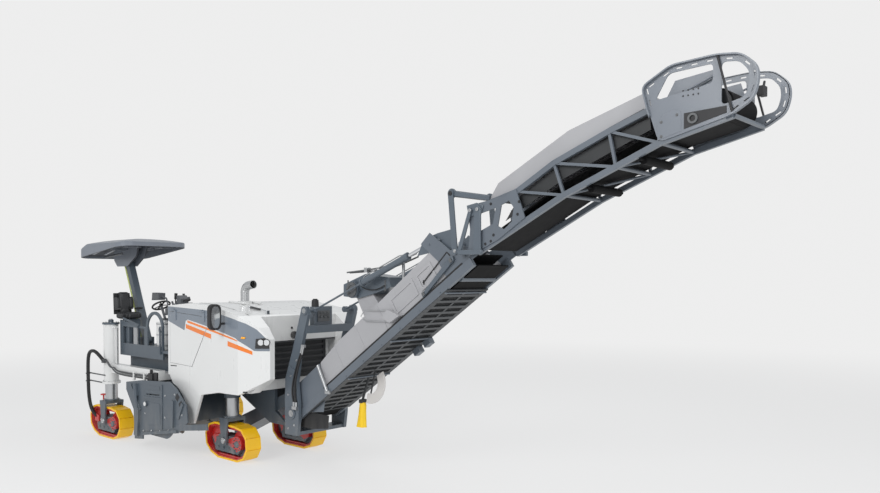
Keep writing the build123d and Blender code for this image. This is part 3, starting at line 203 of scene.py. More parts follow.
def build_coat_with_wear_and_edge_highlight():
    """Paint with a slow change of tone, rubbed edges with a painted highlight, dust on its upper and lower
    faces and a fine skin.
    """
    tree = group_tree(
        "coat_with_wear_and_edge_highlight",
        {"Color": ("Color", (1, 1, 1, 1)), "Edge Color": ("Color", (1, 1, 1, 1)), "Edge": ("Float", 0.4),
         "Dust Color": ("Color", ROAD_DUST), "Dust": ("Float", 0.2), "Tone": ("Float", 0.05),
         "Roughness": ("Float", 0.35), "Skin": ("Float", 0.1)},
        {"Color": "Color", "Roughness": "Float", "Normal": "Vector"},
    )
    n = nodes_of(tree, {
        "in": "NodeGroupInput", "out": "NodeGroupOutput", "place": "ShaderNodeTexCoord",
        "broad": "ShaderNodeTexNoise", "fine": "ShaderNodeTexNoise", "streak": "ShaderNodeTexNoise",
        "stretch": "ShaderNodeMapping",
        "tone": "ShaderNodeMapRange", "tone_low": "ShaderNodeMath", "tone_high": "ShaderNodeMath",
        "value": "ShaderNodeHueSaturation", "round_over": "ShaderNodeBevel", "face": "ShaderNodeNewGeometry",
        "turn": "ShaderNodeVectorMath", "edge": "ShaderNodeMapRange", "edge_break": "ShaderNodeMapRange",
        "edge_mask": "ShaderNodeMath", "edge_share": "ShaderNodeMath", "edge_wear_and_highlight_mix": "ShaderNodeMix",
        "split": "ShaderNodeSeparateXYZ", "height": "ShaderNodeSeparateXYZ", "lying": "ShaderNodeMapRange",
        "low": "ShaderNodeMapRange", "where": "ShaderNodeMath", "cloud": "ShaderNodeMapRange",
        "dust_mask": "ShaderNodeMath", "dust_share": "ShaderNodeMath", "dust_mix": "ShaderNodeMix",
        "rough_dust": "ShaderNodeMath", "rough_fine": "ShaderNodeMapRange", "rough": "ShaderNodeMath",
        "skin": "ShaderNodeBump",
    })
    link = tree.links.new
    for name, scale, detail in (("broad", 1.7, 3), ("fine", 90, 4), ("streak", 9, 5)):
        n[name].inputs["Scale"].default_value = scale
        n[name].inputs["Detail"].default_value = detail
    n["stretch"].inputs["Scale"].default_value = (1, 1, 0.25)
    link(n["place"].outputs["Object"], n["broad"].inputs["Vector"])
    link(n["place"].outputs["Object"], n["fine"].inputs["Vector"])
    link(n["place"].outputs["Object"], n["stretch"].inputs["Vector"])
    link(n["stretch"].outputs[0], n["streak"].inputs["Vector"])
    n["tone_low"].operation = "SUBTRACT"
    n["tone_low"].inputs[0].default_value = 1
    link(n["in"].outputs["Tone"], n["tone_low"].inputs[1])
    n["tone_high"].operation = "ADD"
    n["tone_high"].inputs[0].default_value = 1
    link(n["in"].outputs["Tone"], n["tone_high"].inputs[1])
    n["tone"].inputs["From Min"].default_value = 0.3
    n["tone"].inputs["From Max"].default_value = 0.7
    link(n["broad"].outputs["Fac"], n["tone"].inputs["Value"])
    link(n["tone_low"].outputs[0], n["tone"].inputs["To Min"])
    link(n["tone_high"].outputs[0], n["tone"].inputs["To Max"])
    link(n["tone"].outputs[0], n["value"].inputs["Value"])
    link(n["in"].outputs["Color"], n["value"].inputs["Color"])
    # Edges are mixed towards the edge colour: rubbed wear, and where that colour is lighter also a painted
    # highlight.
    n["round_over"].samples = 4
    n["round_over"].inputs["Radius"].default_value = 0.007
    n["turn"].operation = "DOT_PRODUCT"
    link(n["round_over"].outputs[0], n["turn"].inputs[0])
    link(n["face"].outputs["Normal"], n["turn"].inputs[1])
    n["edge"].inputs["From Min"].default_value = 0.995
    n["edge"].inputs["From Max"].default_value = 0.90
    link(n["turn"].outputs["Value"], n["edge"].inputs["Value"])
    n["edge_break"].inputs["From Min"].default_value = 0.42
    n["edge_break"].inputs["From Max"].default_value = 0.60
    link(n["streak"].outputs["Fac"], n["edge_break"].inputs["Value"])
    n["edge_mask"].operation = "MULTIPLY"
    link(n["edge"].outputs[0], n["edge_mask"].inputs[0])
    link(n["edge_break"].outputs[0], n["edge_mask"].inputs[1])
    n["edge_share"].operation = "MULTIPLY"
    link(n["edge_mask"].outputs[0], n["edge_share"].inputs[0])
    link(n["in"].outputs["Edge"], n["edge_share"].inputs[1])
    n["edge_wear_and_highlight_mix"].data_type = "RGBA"
    link(n["edge_share"].outputs[0], n["edge_wear_and_highlight_mix"].inputs["Factor"])
    link(n["value"].outputs[0], n["edge_wear_and_highlight_mix"].inputs["A"])
    link(n["in"].outputs["Edge Color"], n["edge_wear_and_highlight_mix"].inputs["B"])
    link(n["face"].outputs["Normal"], n["split"].inputs[0])
    link(n["place"].outputs["Object"], n["height"].inputs[0])
    n["lying"].inputs["From Min"].default_value = 0.45
    n["lying"].inputs["From Max"].default_value = 1
    n["lying"].inputs["To Max"].default_value = 0.7
    link(n["split"].outputs["Z"], n["lying"].inputs["Value"])
    n["low"].inputs["From Min"].default_value = 0.9
    n["low"].inputs["From Max"].default_value = 0.1
    link(n["height"].outputs["Z"], n["low"].inputs["Value"])
    n["where"].operation = "MAXIMUM"
    link(n["lying"].outputs[0], n["where"].inputs[0])
    link(n["low"].outputs[0], n["where"].inputs[1])
    n["cloud"].inputs["From Min"].default_value = 0.38
    n["cloud"].inputs["From Max"].default_value = 0.68
    link(n["streak"].outputs["Fac"], n["cloud"].inputs["Value"])
    n["dust_mask"].operation = "MULTIPLY"
    link(n["where"].outputs[0], n["dust_mask"].inputs[0])
    link(n["cloud"].outputs[0], n["dust_mask"].inputs[1])
    n["dust_share"].operation = "MULTIPLY"
    link(n["dust_mask"].outputs[0], n["dust_share"].inputs[0])
    link(n["in"].outputs["Dust"], n["dust_share"].inputs[1])
    n["dust_mix"].data_type = "RGBA"
    link(n["dust_share"].outputs[0], n["dust_mix"].inputs["Factor"])
    link(n["edge_wear_and_highlight_mix"].outputs["Result"], n["dust_mix"].inputs["A"])
    link(n["in"].outputs["Dust Color"], n["dust_mix"].inputs["B"])
    link(n["dust_mix"].outputs["Result"], n["out"].inputs["Color"])
    n["rough_fine"].inputs["To Min"].default_value = -0.05
    n["rough_fine"].inputs["To Max"].default_value = 0.07
    link(n["streak"].outputs["Fac"], n["rough_fine"].inputs["Value"])
    n["rough_dust"].operation = "MULTIPLY_ADD"
    n["rough_dust"].inputs[1].default_value = 0.5
    link(n["dust_share"].outputs[0], n["rough_dust"].inputs[0])
    link(n["in"].outputs["Roughness"], n["rough_dust"].inputs[2])
    link(n["rough_dust"].outputs[0], n["rough"].inputs[0])
    link(n["rough_fine"].outputs[0], n["rough"].inputs[1])
    link(n["rough"].outputs[0], n["out"].inputs["Roughness"])
    n["skin"].inputs["Distance"].default_value = 0.001
    link(n["in"].outputs["Skin"], n["skin"].inputs["Strength"])
    link(n["fine"].outputs["Fac"], n["skin"].inputs["Height"])
    link(n["skin"].outputs[0], n["out"].inputs["Normal"])
    return tree


coat_with_wear_and_edge_highlight = build_coat_with_wear_and_edge_highlight()


def new_finish(name):
    """Material with a principled shader and an output, ready for its own nodes."""
    material = bpy.data.materials.new(name)
    material.use_nodes = True
    return material, material.node_tree, material.node_tree.nodes["Principled BSDF"]


def coat(name, color, edge_color, metallic=0.0, coat_weight=0.0, **values):
    """Painted or plain surface made from the coat group of wear, dust and painted edge highlight, with its
    own values.
    """
    material, tree, shader = new_finish(name)
    group = tree.nodes.new("ShaderNodeGroup")
    group.node_tree = coat_with_wear_and_edge_highlight
    group.inputs["Color"].default_value = color
    group.inputs["Edge Color"].default_value = edge_color
    for socket, value in values.items():
        group.inputs[socket].default_value = value
    tree.links.new(group.outputs["Color"], shader.inputs["Base Color"])
    tree.links.new(group.outputs["Roughness"], shader.inputs["Roughness"])
    tree.links.new(group.outputs["Normal"], shader.inputs["Normal"])
    shader.inputs["Metallic"].default_value = metallic
    shader.inputs["Coat Weight"].default_value = coat_weight
    shader.inputs["Coat Roughness"].default_value = 0.12
    return material


def dress(material, *names):
    """Gives CAD nodes their finish."""
    for name in names:
        node = frame["nodes"][name]
        node.data.materials.clear()
        node.data.materials.append(material)


slate_enamel = coat("slate_enamel", SLATE, SLATE_EDGE_WEAR_AND_HIGHLIGHT, coat_weight=0.15, Roughness=0.42, Dust=0.35, Edge=0.5)
dress(slate_enamel, "chassis", "slew_tongue", "drum_box", "side_plate_right", "side_plate_left", "scraper",
      "primary_conveyor", "platform")


def repaint(name, material, chosen):
    """Gives a second finish to the faces of a CAD node whose middle, in datum metres, is chosen."""
    node = frame["nodes"][name]
    node.data.materials.append(material)
    index = len(node.data.materials) - 1
    for polygon in node.data.polygons:
        if chosen(polygon.center - datum, polygon.normal):
            polygon.material_index = index


def add_plate(form, outline, y0, y1):
    """Side outline in (x, z) made into a closed plate from y0 to y1, in datum metres."""
    rings = [[form.verts.new(at(x, y, z)) for x, z in outline] for y in (y0, y1)]
    form.faces.new(rings[0])
    form.faces.new(rings[1][::-1])
    for k in range(len(outline)):
        j = (k + 1) % len(outline)
        form.faces.new((rings[0][j], rings[0][k], rings[1][k], rings[1][j]))


def add_block(form, x0, x1, y0, y1, z0, z1):
    add_plate(form, [(x0, z0), (x1, z0), (x1, z1), (x0, z1)], y0, y1)


def round_point(radius, angle, height=0):
    """Point on a level circle about the origin."""
    return Vector((radius * cos(angle), radius * sin(angle), height))


def add_bar(form, start, end, radius, sides=12, tip=None):
    """Round or six-sided bar between two datum points, tapered where tip gives its far radius."""
    a, b = at(*start), at(*end)
    turn = (b - a).to_track_quat("Z", "Y")
    rings = []
    for centre, r in ((a, radius), (b, radius if tip is None else tip)):
        rings.append([form.verts.new(centre + turn @ round_point(r, 2 * pi * k / sides))
                      for k in range(sides)])
    form.faces.new(rings[0][::-1])
    form.faces.new(rings[1])
    for k in range(sides):
        j = (k + 1) % sides
        form.faces.new((rings[0][k], rings[0][j], rings[1][j], rings[1][k]))


def add_ring(form, centre, way, outer, inner, depth, sides=32):
    """Flat ring about a datum point, square to way, depth thick along it."""
    middle = at(*centre)
    turn = Vector(way).to_track_quat("Z", "Y")
    loops = []
    for r, h in ((outer, 0), (outer, depth), (inner, depth), (inner, 0)):
        loops.append([form.verts.new(middle + turn @ round_point(r, 2 * pi * k / sides, h))
                      for k in range(sides)])
    for k in range(sides):
        j = (k + 1) % sides
        for m in range(4):
            p, q = loops[m], loops[(m + 1) % 4]
            form.faces.new((p[k], p[j], q[j], q[k]))


def add_bolts(form, places, way, radius=0.014, height=0.012):
    """Hexagon heads standing on a face at datum points, with a washer under each."""
    way = Vector(way).normalized()
    for place in places:
        foot = Vector(place)
        add_bar(form, foot, foot + way * height * 0.25, radius * 1.35, sides=14)
        add_bar(form, foot + way * height * 0.2, foot + way * height, radius, sides=6)


def finished(name, form, material, body, bevel=0.0, sharp=35):
    """Turns a form into a piece that rides on a body, with soft edges where bevel is given."""
    mesh = bpy.data.meshes.new(name)
    bmesh.ops.recalc_face_normals(form, faces=form.faces)
    form.to_mesh(mesh)
    form.free()
    mesh.materials.append(material)
    mesh.shade_smooth()
    mesh.set_sharp_from_angle(angle=radians(sharp))
    thing = bpy.data.objects.new(name, mesh)
    bpy.context.scene.collection.objects.link(thing)
    if bevel:
        rounding = thing.modifiers.new("edges", "BEVEL")
        rounding.width = bevel
        rounding.segments = 2
        rounding.limit_method = "ANGLE"
    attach(thing, body)
    return thing


def tube(name, points, radius, material, body, smooth=True):
    """Pipe or hose along datum points."""
    data = bpy.data.curves.new(name, "CURVE")
    data.dimensions = "3D"
    data.bevel_depth = radius
    data.bevel_resolution = 3
    data.use_fill_caps = True
    line = data.splines.new("NURBS" if smooth else "POLY")
    line.points.add(len(points) - 1)
    for point, place in zip(line.points, points):
        point.co = (*at(*place), 1)
    if smooth:
        line.order_u = 3
        line.use_endpoint_u = True
        line.resolution_u = 6
    data.materials.append(material)
    thing = bpy.data.objects.new(name, data)
    bpy.context.scene.collection.objects.link(thing)
    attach(thing, body)
    return thing


def soften(width, *names):
    """Rounds the edges of CAD nodes a little, as welded and painted work is."""
    for name in names:
        rounding = frame["nodes"][name].modifiers.new("edges", "BEVEL")
        rounding.width = width
        rounding.segments = 2
        rounding.limit_method = "ANGLE"
        rounding.angle_limit = radians(40)


soften(0.006, "chassis", "slew_tongue", "drum_box", "side_plate_right", "platform")

# Body: formed and welded steel panels over the engine bay in white gloss enamel, with a slate swoosh and
# orange stripes painted along the right side, a lamp pod on the nose and black slots.
WHITE = (0.70, 0.705, 0.70, 1)
WHITE_EDGE = (0.55, 0.56, 0.57, 1)
SIDE_Y = -1.1
BEND_X = 0.84
NOSE_RUN = Vector((0.365, 0.3))
NOSE_WAY = NOSE_RUN.normalized()
NOSE_OUT = Vector((NOSE_WAY.y, -NOSE_WAY.x))
FLAP_EDGE = [(-1.054, 1.466), (-0.416, 1.446), (0.124, 2.219), (-1.054, 2.284)]
FLAP_HOLE = [(-1.06, 1.46), (-0.40, 1.44), (0.14, 2.225), (-1.06, 2.29)]
white_enamel = coat("white_enamel", WHITE, WHITE_EDGE, coat_weight=0.5, Roughness=0.28, Dust=0.025, Edge=0.15,
                    Tone=0.012)
dress(white_enamel, "hood", "side_panel_right", "side_panel_left", "side_flap", "rear_leg_towers", "canister")
soften(0.008, "hood", "side_panel_right", "side_panel_left", "side_flap")
swoosh_slate = coat("swoosh_slate", (0.175, 0.205, 0.245, 1), SLATE_EDGE_WEAR_AND_HIGHLIGHT, coat_weight=0.4, Roughness=0.32,
                    Dust=0.1, Edge=0)
stripe_orange = coat("stripe_orange", (0.80, 0.19, 0.012, 1), (0.8, 0.3, 0.1, 1), coat_weight=0.4,
                     Roughness=0.3, Dust=0.05, Edge=0)
gloss_black = coat("gloss_black", (0.012, 0.013, 0.015, 1), (0.05, 0.05, 0.05, 1), coat_weight=0.6,
                   Roughness=0.18, Dust=0.1)
amber_lens = coat("amber_lens", (0.85, 0.36, 0.01, 1), (0.9, 0.5, 0.1, 1), coat_weight=0.8, Roughness=0.15,
                  Dust=0)


def cut_by(outline, a, b):
    """The part of a convex outline on the left of the line from a to b, and the part on its right."""
    kept, left_over = [], []
    for k, p in enumerate(outline):
        q = outline[(k + 1) % len(outline)]
        side_p = (b[0] - a[0]) * (p[1] - a[1]) - (b[1] - a[1]) * (p[0] - a[0])
        side_q = (b[0] - a[0]) * (q[1] - a[1]) - (b[1] - a[1]) * (q[0] - a[0])
        if side_p >= 0:
            kept.append(p)
        if side_p <= 0:
            left_over.append(p)
        if side_p * side_q < 0:
            t = side_p / (side_p - side_q)
            cross = (p[0] + (q[0] - p[0]) * t, p[1] + (q[1] - p[1]) * t)
            kept.append(cross)
            left_over.append(cross)
    return kept, left_over


SMALLEST_AREA = 1e-5


def area_of(outline):
    pairs = zip(outline, outline[1:] + outline[:1])
    return abs(sum(p[0] * q[1] - q[0] * p[1] for p, q in pairs)) / 2


def inside(outline, ring):
    for k in range(len(ring)):
        outline = cut_by(outline, ring[k], ring[(k + 1) % len(ring)])[0] if len(outline) > 2 else []
    return outline


def outside(outline, ring):
    """Convex pieces of an outline that lie outside a convex ring."""
    pieces = []
    for k in range(len(ring)):
        if len(outline) < 3:
            break
        outline, rest = cut_by(outline, ring[k], ring[(k + 1) % len(ring)])
        if area_of(rest) > SMALLEST_AREA:
            pieces.append(rest)
    return pieces


def skin_point(x, z, lift):
    """Datum point on the right side, which bends in along the nose."""
    if x <= BEND_X:
        return (x, SIDE_Y - lift, z)
    y = SIDE_Y + (x - BEND_X) * NOSE_WAY.y / NOSE_WAY.x
    return (x + NOSE_OUT.x * lift, y + NOSE_OUT.y * lift, z)


def add_skin(form, outline, lift, low=0.0003):
    """Thin closed sheet over a convex outline on the right side, split where the side bends."""
    for part in cut_by(outline, (BEND_X, 5), (BEND_X, 0)):
        if area_of(part) < SMALLEST_AREA:
            continue
        near = sum(x for x, z in part) / len(part) <= BEND_X
        rings = []
        for height in (low, lift):
            ring = []
            for x, z in part:
                place = Vector(skin_point(x, z, height))
                if near or x > BEND_X:
                    ring.append(form.verts.new(at(*place)))
                else:
                    ring.append(form.verts.new(at(x + NOSE_OUT.x * height, SIDE_Y + NOSE_OUT.y * height, z)))
            rings.append(ring)
        form.faces.new(rings[0])
        form.faces.new(rings[1][::-1])
        for k in range(len(part)):
            j = (k + 1) % len(part)
            form.faces.new((rings[0][j], rings[0][k], rings[1][k], rings[1][j]))


BANDS = {  # name: (finish, lift, columns as (x, low z, high z))
    "swoosh": (swoosh_slate, 0.0008, [
        (-1.118, 2.135, 2.366), (-0.62, 2.0, 2.352), (-0.58, 2.15, 2.35), (-0.51, 2.172, 2.348),
        (-0.04, 2.10, 2.335), (0.14, 2.07, 2.325), (0.50, 2.005, 2.265), (0.79, 1.945, 2.215),
        (0.84, 1.915, 2.203), (0.931, 1.845, 2.162), (1.023, 1.768, 2.10), (1.061, 1.764, 2.07),
        (1.137, 1.764, 1.975), (1.19, 1.764, 1.90), (1.202, 1.764, 1.80)]),
    "stripe_upper": (stripe_orange, 0.0012, [
        (-0.53, 2.125, 2.160), (0.14, 2.018, 2.050), (0.69, 1.925, 1.950), (0.83, 1.902, 1.915)]),
    "stripe_lower": (stripe_orange, 0.0012, [(-0.575, 2.035, 2.102), (0.14, 1.905, 1.975)]),
    "stripe_front": (stripe_orange, 0.0012, [
        (0.58, 1.822, 1.897), (0.84, 1.785, 1.850), (1.005, 1.710, 1.760)]),
}
for name, (finish, lift, columns) in BANDS.items():
    fixed, swung = bmesh.new(), bmesh.new()
    for (x0, low0, high0), (x1, low1, high1) in zip(columns, columns[1:]):
        quad = [(x0, low0), (x1, low1), (x1, high1), (x0, high0)]
        for part in outside(quad, FLAP_HOLE):
            add_skin(fixed, part, lift)
        part = inside(quad, FLAP_EDGE)
        if area_of(part) > SMALLEST_AREA:
            add_skin(swung, part, lift)
    if len(fixed.faces):
        finished(f"{name}_on_panel", fixed, finish, "machine")
    if len(swung.faces):
        finished(f"{name}_on_flap", swung, finish, "service_flap")

repaint("side_flap", swoosh_slate, lambda c, way: c.y < -1.1003 and c.z > 2.1)
repaint("side_panel_right", swoosh_slate, lambda c, way: c.y < -1.1003 and c.z > 2.2)

slots = bmesh.new()
add_skin(slots, [(-1.05, 1.408), (-0.86, 1.414), (-0.855, 1.430), (-1.045, 1.424)], 0.003)
add_skin(slots, [(0.895, 1.155), (0.948, 1.155), (0.948, 1.176), (0.895, 1.176)], 0.003)
finished("panel_slots", slots, gloss_black, "machine")
pod = bmesh.new()
add_skin(pod, [(1.035, 1.80), (1.198, 1.80), (1.198, 1.915), (1.15, 1.955), (1.045, 1.94)], 0.009)
finished("lamp_pod", pod, gloss_black, "machine", bevel=0.003)
marker = bmesh.new()
add_skin(marker, [(0.875, 1.943), (0.925, 1.938), (0.93, 1.968), (0.88, 1.972)], 0.014)
finished("side_marker", marker, amber_lens, "machine", bevel=0.004)

lamp_lens, tree, shader = new_finish("lamp_lens")
n = nodes_of(tree, {"place": "ShaderNodeTexCoord", "ribs": "ShaderNodeTexWave", "bump": "ShaderNodeBump",
                    "tone": "ShaderNodeMapRange"})
n["ribs"].inputs["Scale"].default_value = 60
tree.links.new(n["place"].outputs["Object"], n["ribs"].inputs["Vector"])
tree.links.new(n["ribs"].outputs["Fac"], n["bump"].inputs["Height"])
n["bump"].inputs["Strength"].default_value = 0.4
n["bump"].inputs["Distance"].default_value = 0.002
tree.links.new(n["bump"].outputs[0], shader.inputs["Normal"])
n["tone"].inputs["To Min"].default_value = 0.05
n["tone"].inputs["To Max"].default_value = 0.16
tree.links.new(n["ribs"].outputs["Fac"], n["tone"].inputs["Value"])
tree.links.new(n["tone"].outputs[0], shader.inputs["Roughness"])
shader.inputs["Base Color"].default_value = (0.78, 0.80, 0.82, 1)
shader.inputs["Metallic"].default_value = 0.7
shader.inputs["Coat Weight"].default_value = 1
dress(lamp_lens, "headlamps")
bezels = bmesh.new()
for share in (0.72, 0.9):
    spot = Vector((BEND_X, SIDE_Y)) + NOSE_RUN * share
    add_ring(bezels, (spot.x, spot.y, 1.89), (NOSE_OUT.x, NOSE_OUT.y, 0), 0.052, 0.0425, 0.028)
finished("lamp_bezels", bezels, gloss_black, "machine", bevel=0.002)

# Hood and nose: seams of the lid, its gas strut, the vent in the white fascia and the trim over the grille.
HOOD_FACE_X = 0.87
seam_dark = coat("seam_dark", (0.05, 0.052, 0.055, 1), (0.1, 0.1, 0.1, 1), Roughness=0.6, Dust=0.1)
chrome, tree, shader = new_finish("chrome")
n = nodes_of(tree, {"place": "ShaderNodeTexCoord", "fine": "ShaderNodeTexNoise",
                    "tone": "ShaderNodeMapRange"})
n["fine"].inputs["Scale"].default_value = 40
n["tone"].inputs["To Min"].default_value = 0.12
n["tone"].inputs["To Max"].default_value = 0.26
tree.links.new(n["place"].outputs["Object"], n["fine"].inputs["Vector"])
tree.links.new(n["fine"].outputs["Fac"], n["tone"].inputs["Value"])
tree.links.new(n["tone"].outputs[0], shader.inputs["Roughness"])
shader.inputs["Base Color"].default_value = (0.72, 0.73, 0.75, 1)
shader.inputs["Metallic"].default_value = 1
dress(chrome, "lift_rods")
vent = bmesh.new()
add_ring(vent, (HOOD_FACE_X + 0.0003, -0.12, 1.948), (1, 0, 0), 0.058, 0.038, 0.03)
add_bar(vent, (HOOD_FACE_X + 0.0003, -0.12, 1.948), (HOOD_FACE_X + 0.012, -0.12, 1.948), 0.0375, sides=24)
add_bar(vent, (HOOD_FACE_X + 0.0003, -0.155, 2.058), (HOOD_FACE_X + 0.008, -0.155, 2.058), 0.02, sides=16)
finished("nose_vent", vent, gloss_black, "machine", bevel=0.002)
trim = bmesh.new()
add_block(trim, HOOD_FACE_X - 0.03, HOOD_FACE_X - 0.002, -0.70, 0.70, 1.845, 1.8697)
finished("fascia_lip", trim, seam_dark, "machine", bevel=0.003)
seams = bmesh.new()
add_plate(seams, [(0.40, 2.356), (0.83, 2.2765), (0.83, 2.2805), (0.40, 2.360)], -0.9, -0.896)
add_plate(seams, [(-1.09, 2.384), (-0.45, 2.4315), (-0.02, 2.412), (0.40, 2.356), (0.40, 2.3575),
                  (-0.02, 2.4135), (-0.45, 2.433), (-1.09, 2.3855)], -0.9, -0.896)
finished("hood_seam", seams, seam_dark, "machine")
tube("hood_strut", [(0.36, -0.55, 2.375), (0.62, -0.55, 2.345)], 0.017, gloss_black, "machine", smooth=False)
strut = bmesh.new()
add_bar(strut, (0.60, -0.55, 2.3475), (0.80, -0.55, 2.3225), 0.009)
for x, z in ((0.36, 2.375), (0.80, 2.3225)):
    add_block(strut, x - 0.02, x + 0.02, -0.575, -0.525, z - 0.045, z + 0.012)
finished("hood_strut_rod", strut, chrome, "machine", bevel=0.002)
base = bmesh.new()
for y0, y1 in ((-0.47, -0.4135), (-0.1865, -0.13)):
    add_plate(base, [(-0.36, 2.4265), (0.08, 2.4065), (0.08, 2.44), (-0.36, 2.452)], y0, y1)
finished("exhaust_deck_ribs", base, white_enamel, "machine", bevel=0.006)

# Exhaust, grille and mirror: brushed tube on its flange, dark louvres, black oval housing with a pale glass.
silver_tube = coat("silver_tube", (0.56, 0.565, 0.57, 1), (0.75, 0.75, 0.75, 1), metallic=0.85, Roughness=0.3,
                   Dust=0.08)
dress(silver_tube, "exhaust_pipe")
repaint("exhaust_pipe", white_enamel, lambda c, way: c.z < 2.451 and hypot(c.x + 0.15, c.y + 0.3) > 0.07)
CHARCOAL = (0.022, 0.024, 0.027, 1)
charcoal = coat("charcoal_enamel", CHARCOAL, (0.12, 0.12, 0.13, 1), Roughness=0.5, Dust=0.2)
moulded_black = coat("moulded_black", (0.018, 0.018, 0.02, 1), (0.06, 0.06, 0.06, 1), Roughness=0.55,
                     Dust=0.12, Skin=0.45)
dress(charcoal, "engine_block", "radiator_grille")
dress(moulded_black, "mirror", "steering_wheel")
glass_pane = coat("mirror_glass", (0.62, 0.64, 0.65, 1), (0.6, 0.6, 0.6, 1), metallic=0.9, Roughness=0.12,
                  Dust=0.05)
pane = bmesh.new()
MIRROR_Y = -1.27
MIRROR_Z = 2.25
OVAL_SIDES = 28
oval = [(cos(2 * pi * k / OVAL_SIDES), sin(2 * pi * k / OVAL_SIDES)) for k in range(OVAL_SIDES)]
front, back = [], []
for c, s in oval:
    y = MIRROR_Y + 0.068 * (abs(c) ** 0.7) * (1 if c > 0 else -1)
    z = MIRROR_Z + 0.158 * (abs(s) ** 0.7) * (1 if s > 0 else -1)
    front.append(pane.verts.new(at(0.5395, y, z)))
    back.append(pane.verts.new(at(0.5352, y, z)))
pane.faces.new(front)
pane.faces.new(back[::-1])
for k in range(OVAL_SIDES):
    j = (k + 1) % OVAL_SIDES
    pane.faces.new((front[k], back[k], back[j], front[j]))
finished("mirror_back_panel", pane, glass_pane, "machine", sharp=50)
bars = bmesh.new()
for k in range(5):
    z = 1.4 + k * 0.09
    add_block(bars, 0.7205, 0.7245, -0.58, 0.58, z - 0.012, z + 0.012)
finished("grille_louvres", bars, seam_dark, "machine", bevel=0.002)

# Legs and tracks: ground steel leg tubes on slate forks, red steel shoes with yellow moulded pads, and dark
# roller frames with red drive wheels, bolted hub caps and roller caps.
bright_steel = coat("bright_steel", (0.50, 0.51, 0.52, 1), (0.75, 0.75, 0.75, 1), metallic=1.0, Roughness=0.3,
                    Dust=0.12)
pad_yellow = coat("pad_yellow", (0.93, 0.53, 0.0, 1), (0.95, 0.62, 0.05, 1), coat_weight=0.2, Roughness=0.42,
                  Dust=0.03, Edge=0.1)
red_enamel = coat("red_enamel", (0.50, 0.012, 0.010, 1), (0.6, 0.15, 0.1, 1), coat_weight=0.3, Roughness=0.36,
                  Dust=0.18)
frame_slate = coat("frame_slate", (0.075, 0.095, 0.115, 1), SLATE_EDGE_WEAR_AND_HIGHLIGHT, Roughness=0.45, Dust=0.4)
TRACKS = {"front_right": (0, -0.646), "front_left": (0, 0.646), "rear_right": (-3.07, -1.115),
          "rear_left": (-3.07, 1.115)}
PAD_SIDE = 0.1235
SPROCKET = (0.305, 0.275)


def is_red_wheel(centre, way):
    """True on the drive wheel and the idler of the roller frame at the leg in hand."""
    x, z = centre.x - leg_x, centre.z
    drive = hypot(x - SPROCKET[0], z - SPROCKET[1]) < 0.21 and x > 0.06 and z > 0.2
    return drive or hypot(x + 0.325, z - 0.3) < 0.19 and z > 0.29


for corner, (leg_x, leg_y) in TRACKS.items():
    body = f"track_unit_{corner}"
    dress(red_enamel, f"track_{corner}")
    loop_mesh = frame["nodes"][f"track_{corner}"].data
    for polygon in loop_mesh.polygons:
        widest = max(abs(loop_mesh.vertices[v].co.y - datum.y - leg_y) for v in polygon.vertices)
        polygon.material_index = 0 if widest < PAD_SIDE else 1
    loop_mesh.materials.append(pad_yellow)
    dress(frame_slate, f"roller_frame_{corner}")
    repaint(f"roller_frame_{corner}", red_enamel, is_red_wheel)
    dress(slate_enamel, f"leg_{corner}")
    repaint(f"leg_{corner}", bright_steel, lambda c, way: c.z > 0.676)
    soften(0.004, f"track_{corner}", f"leg_{corner}", f"roller_frame_{corner}")
    outer = -1 if leg_y < 0 else 1
    hub = bmesh.new()
    face_y = leg_y + outer * 0.1252
    ring = [(leg_x + SPROCKET[0] + 0.092 * cos(2 * pi * k / 10), face_y,
             SPROCKET[1] + 0.092 * sin(2 * pi * k / 10)) for k in range(10)]
    add_bolts(hub, ring, (0, outer, 0), radius=0.009, height=0.012)
    add_bar(hub, (leg_x + SPROCKET[0], face_y - outer * 0.002, SPROCKET[1]),
            (leg_x + SPROCKET[0], face_y + outer * 0.022, SPROCKET[1]), 0.055, sides=24, tip=0.045)
    finished(f"hub_{corner}", hub, frame_slate, body, bevel=0.002)
    pivot = bmesh.new()
    arm_y = leg_y + outer * 0.165
    if datum.y + arm_y + outer * 0.024 < cad_bounds[1][1]:
        add_bar(pivot, (leg_x, arm_y - outer * 0.001, 0.3), (leg_x, arm_y + outer * 0.016, 0.3), 0.05,
                sides=20, tip=0.046)
        add_bolts(pivot, [(leg_x + 0.032 * cos(a), arm_y + outer * 0.016, 0.3 + 0.032 * sin(a))
                          for a in (0.8, 2.4, 3.9, 5.5)], (0, outer, 0), radius=0.006, height=0.008)
    fork_top = [(leg_x + 0.13 * cos(a), leg_y + 0.13 * sin(a), 0.65)
                for a in (0.6, 1.57, 2.54, 3.74, 4.71, 5.68) if abs(0.13 * cos(a)) < 0.105]
    add_bolts(pivot, fork_top, (0, 0, 1), radius=0.01, height=0.012)
    finished(f"fork_pin_{corner}", pivot, bright_steel, body, bevel=0.002)
    rollers = bmesh.new()
    for side in (-1, 1):
        y = leg_y + side * 0.1102
        for k in range(4):
            x = leg_x - 0.3 + (k + 0.5) * 0.605 / 4
            add_bar(rollers, (x, y, 0.17), (x, y + side * 0.012, 0.17), 0.026, sides=16, tip=0.022)
            add_bar(rollers, (x, y + side * 0.012, 0.17), (x, y + side * 0.018, 0.17), 0.010, sides=6)
        add_plate(rollers, [(leg_x - 0.27, 0.275), (leg_x - 0.09, 0.275), (leg_x - 0.09, 0.335),
                            (leg_x - 0.27, 0.325)], min(y, y + side * 0.01), max(y, y + side * 0.01))
    finished(f"roller_caps_{corner}", rollers, frame_slate, body, bevel=0.002)

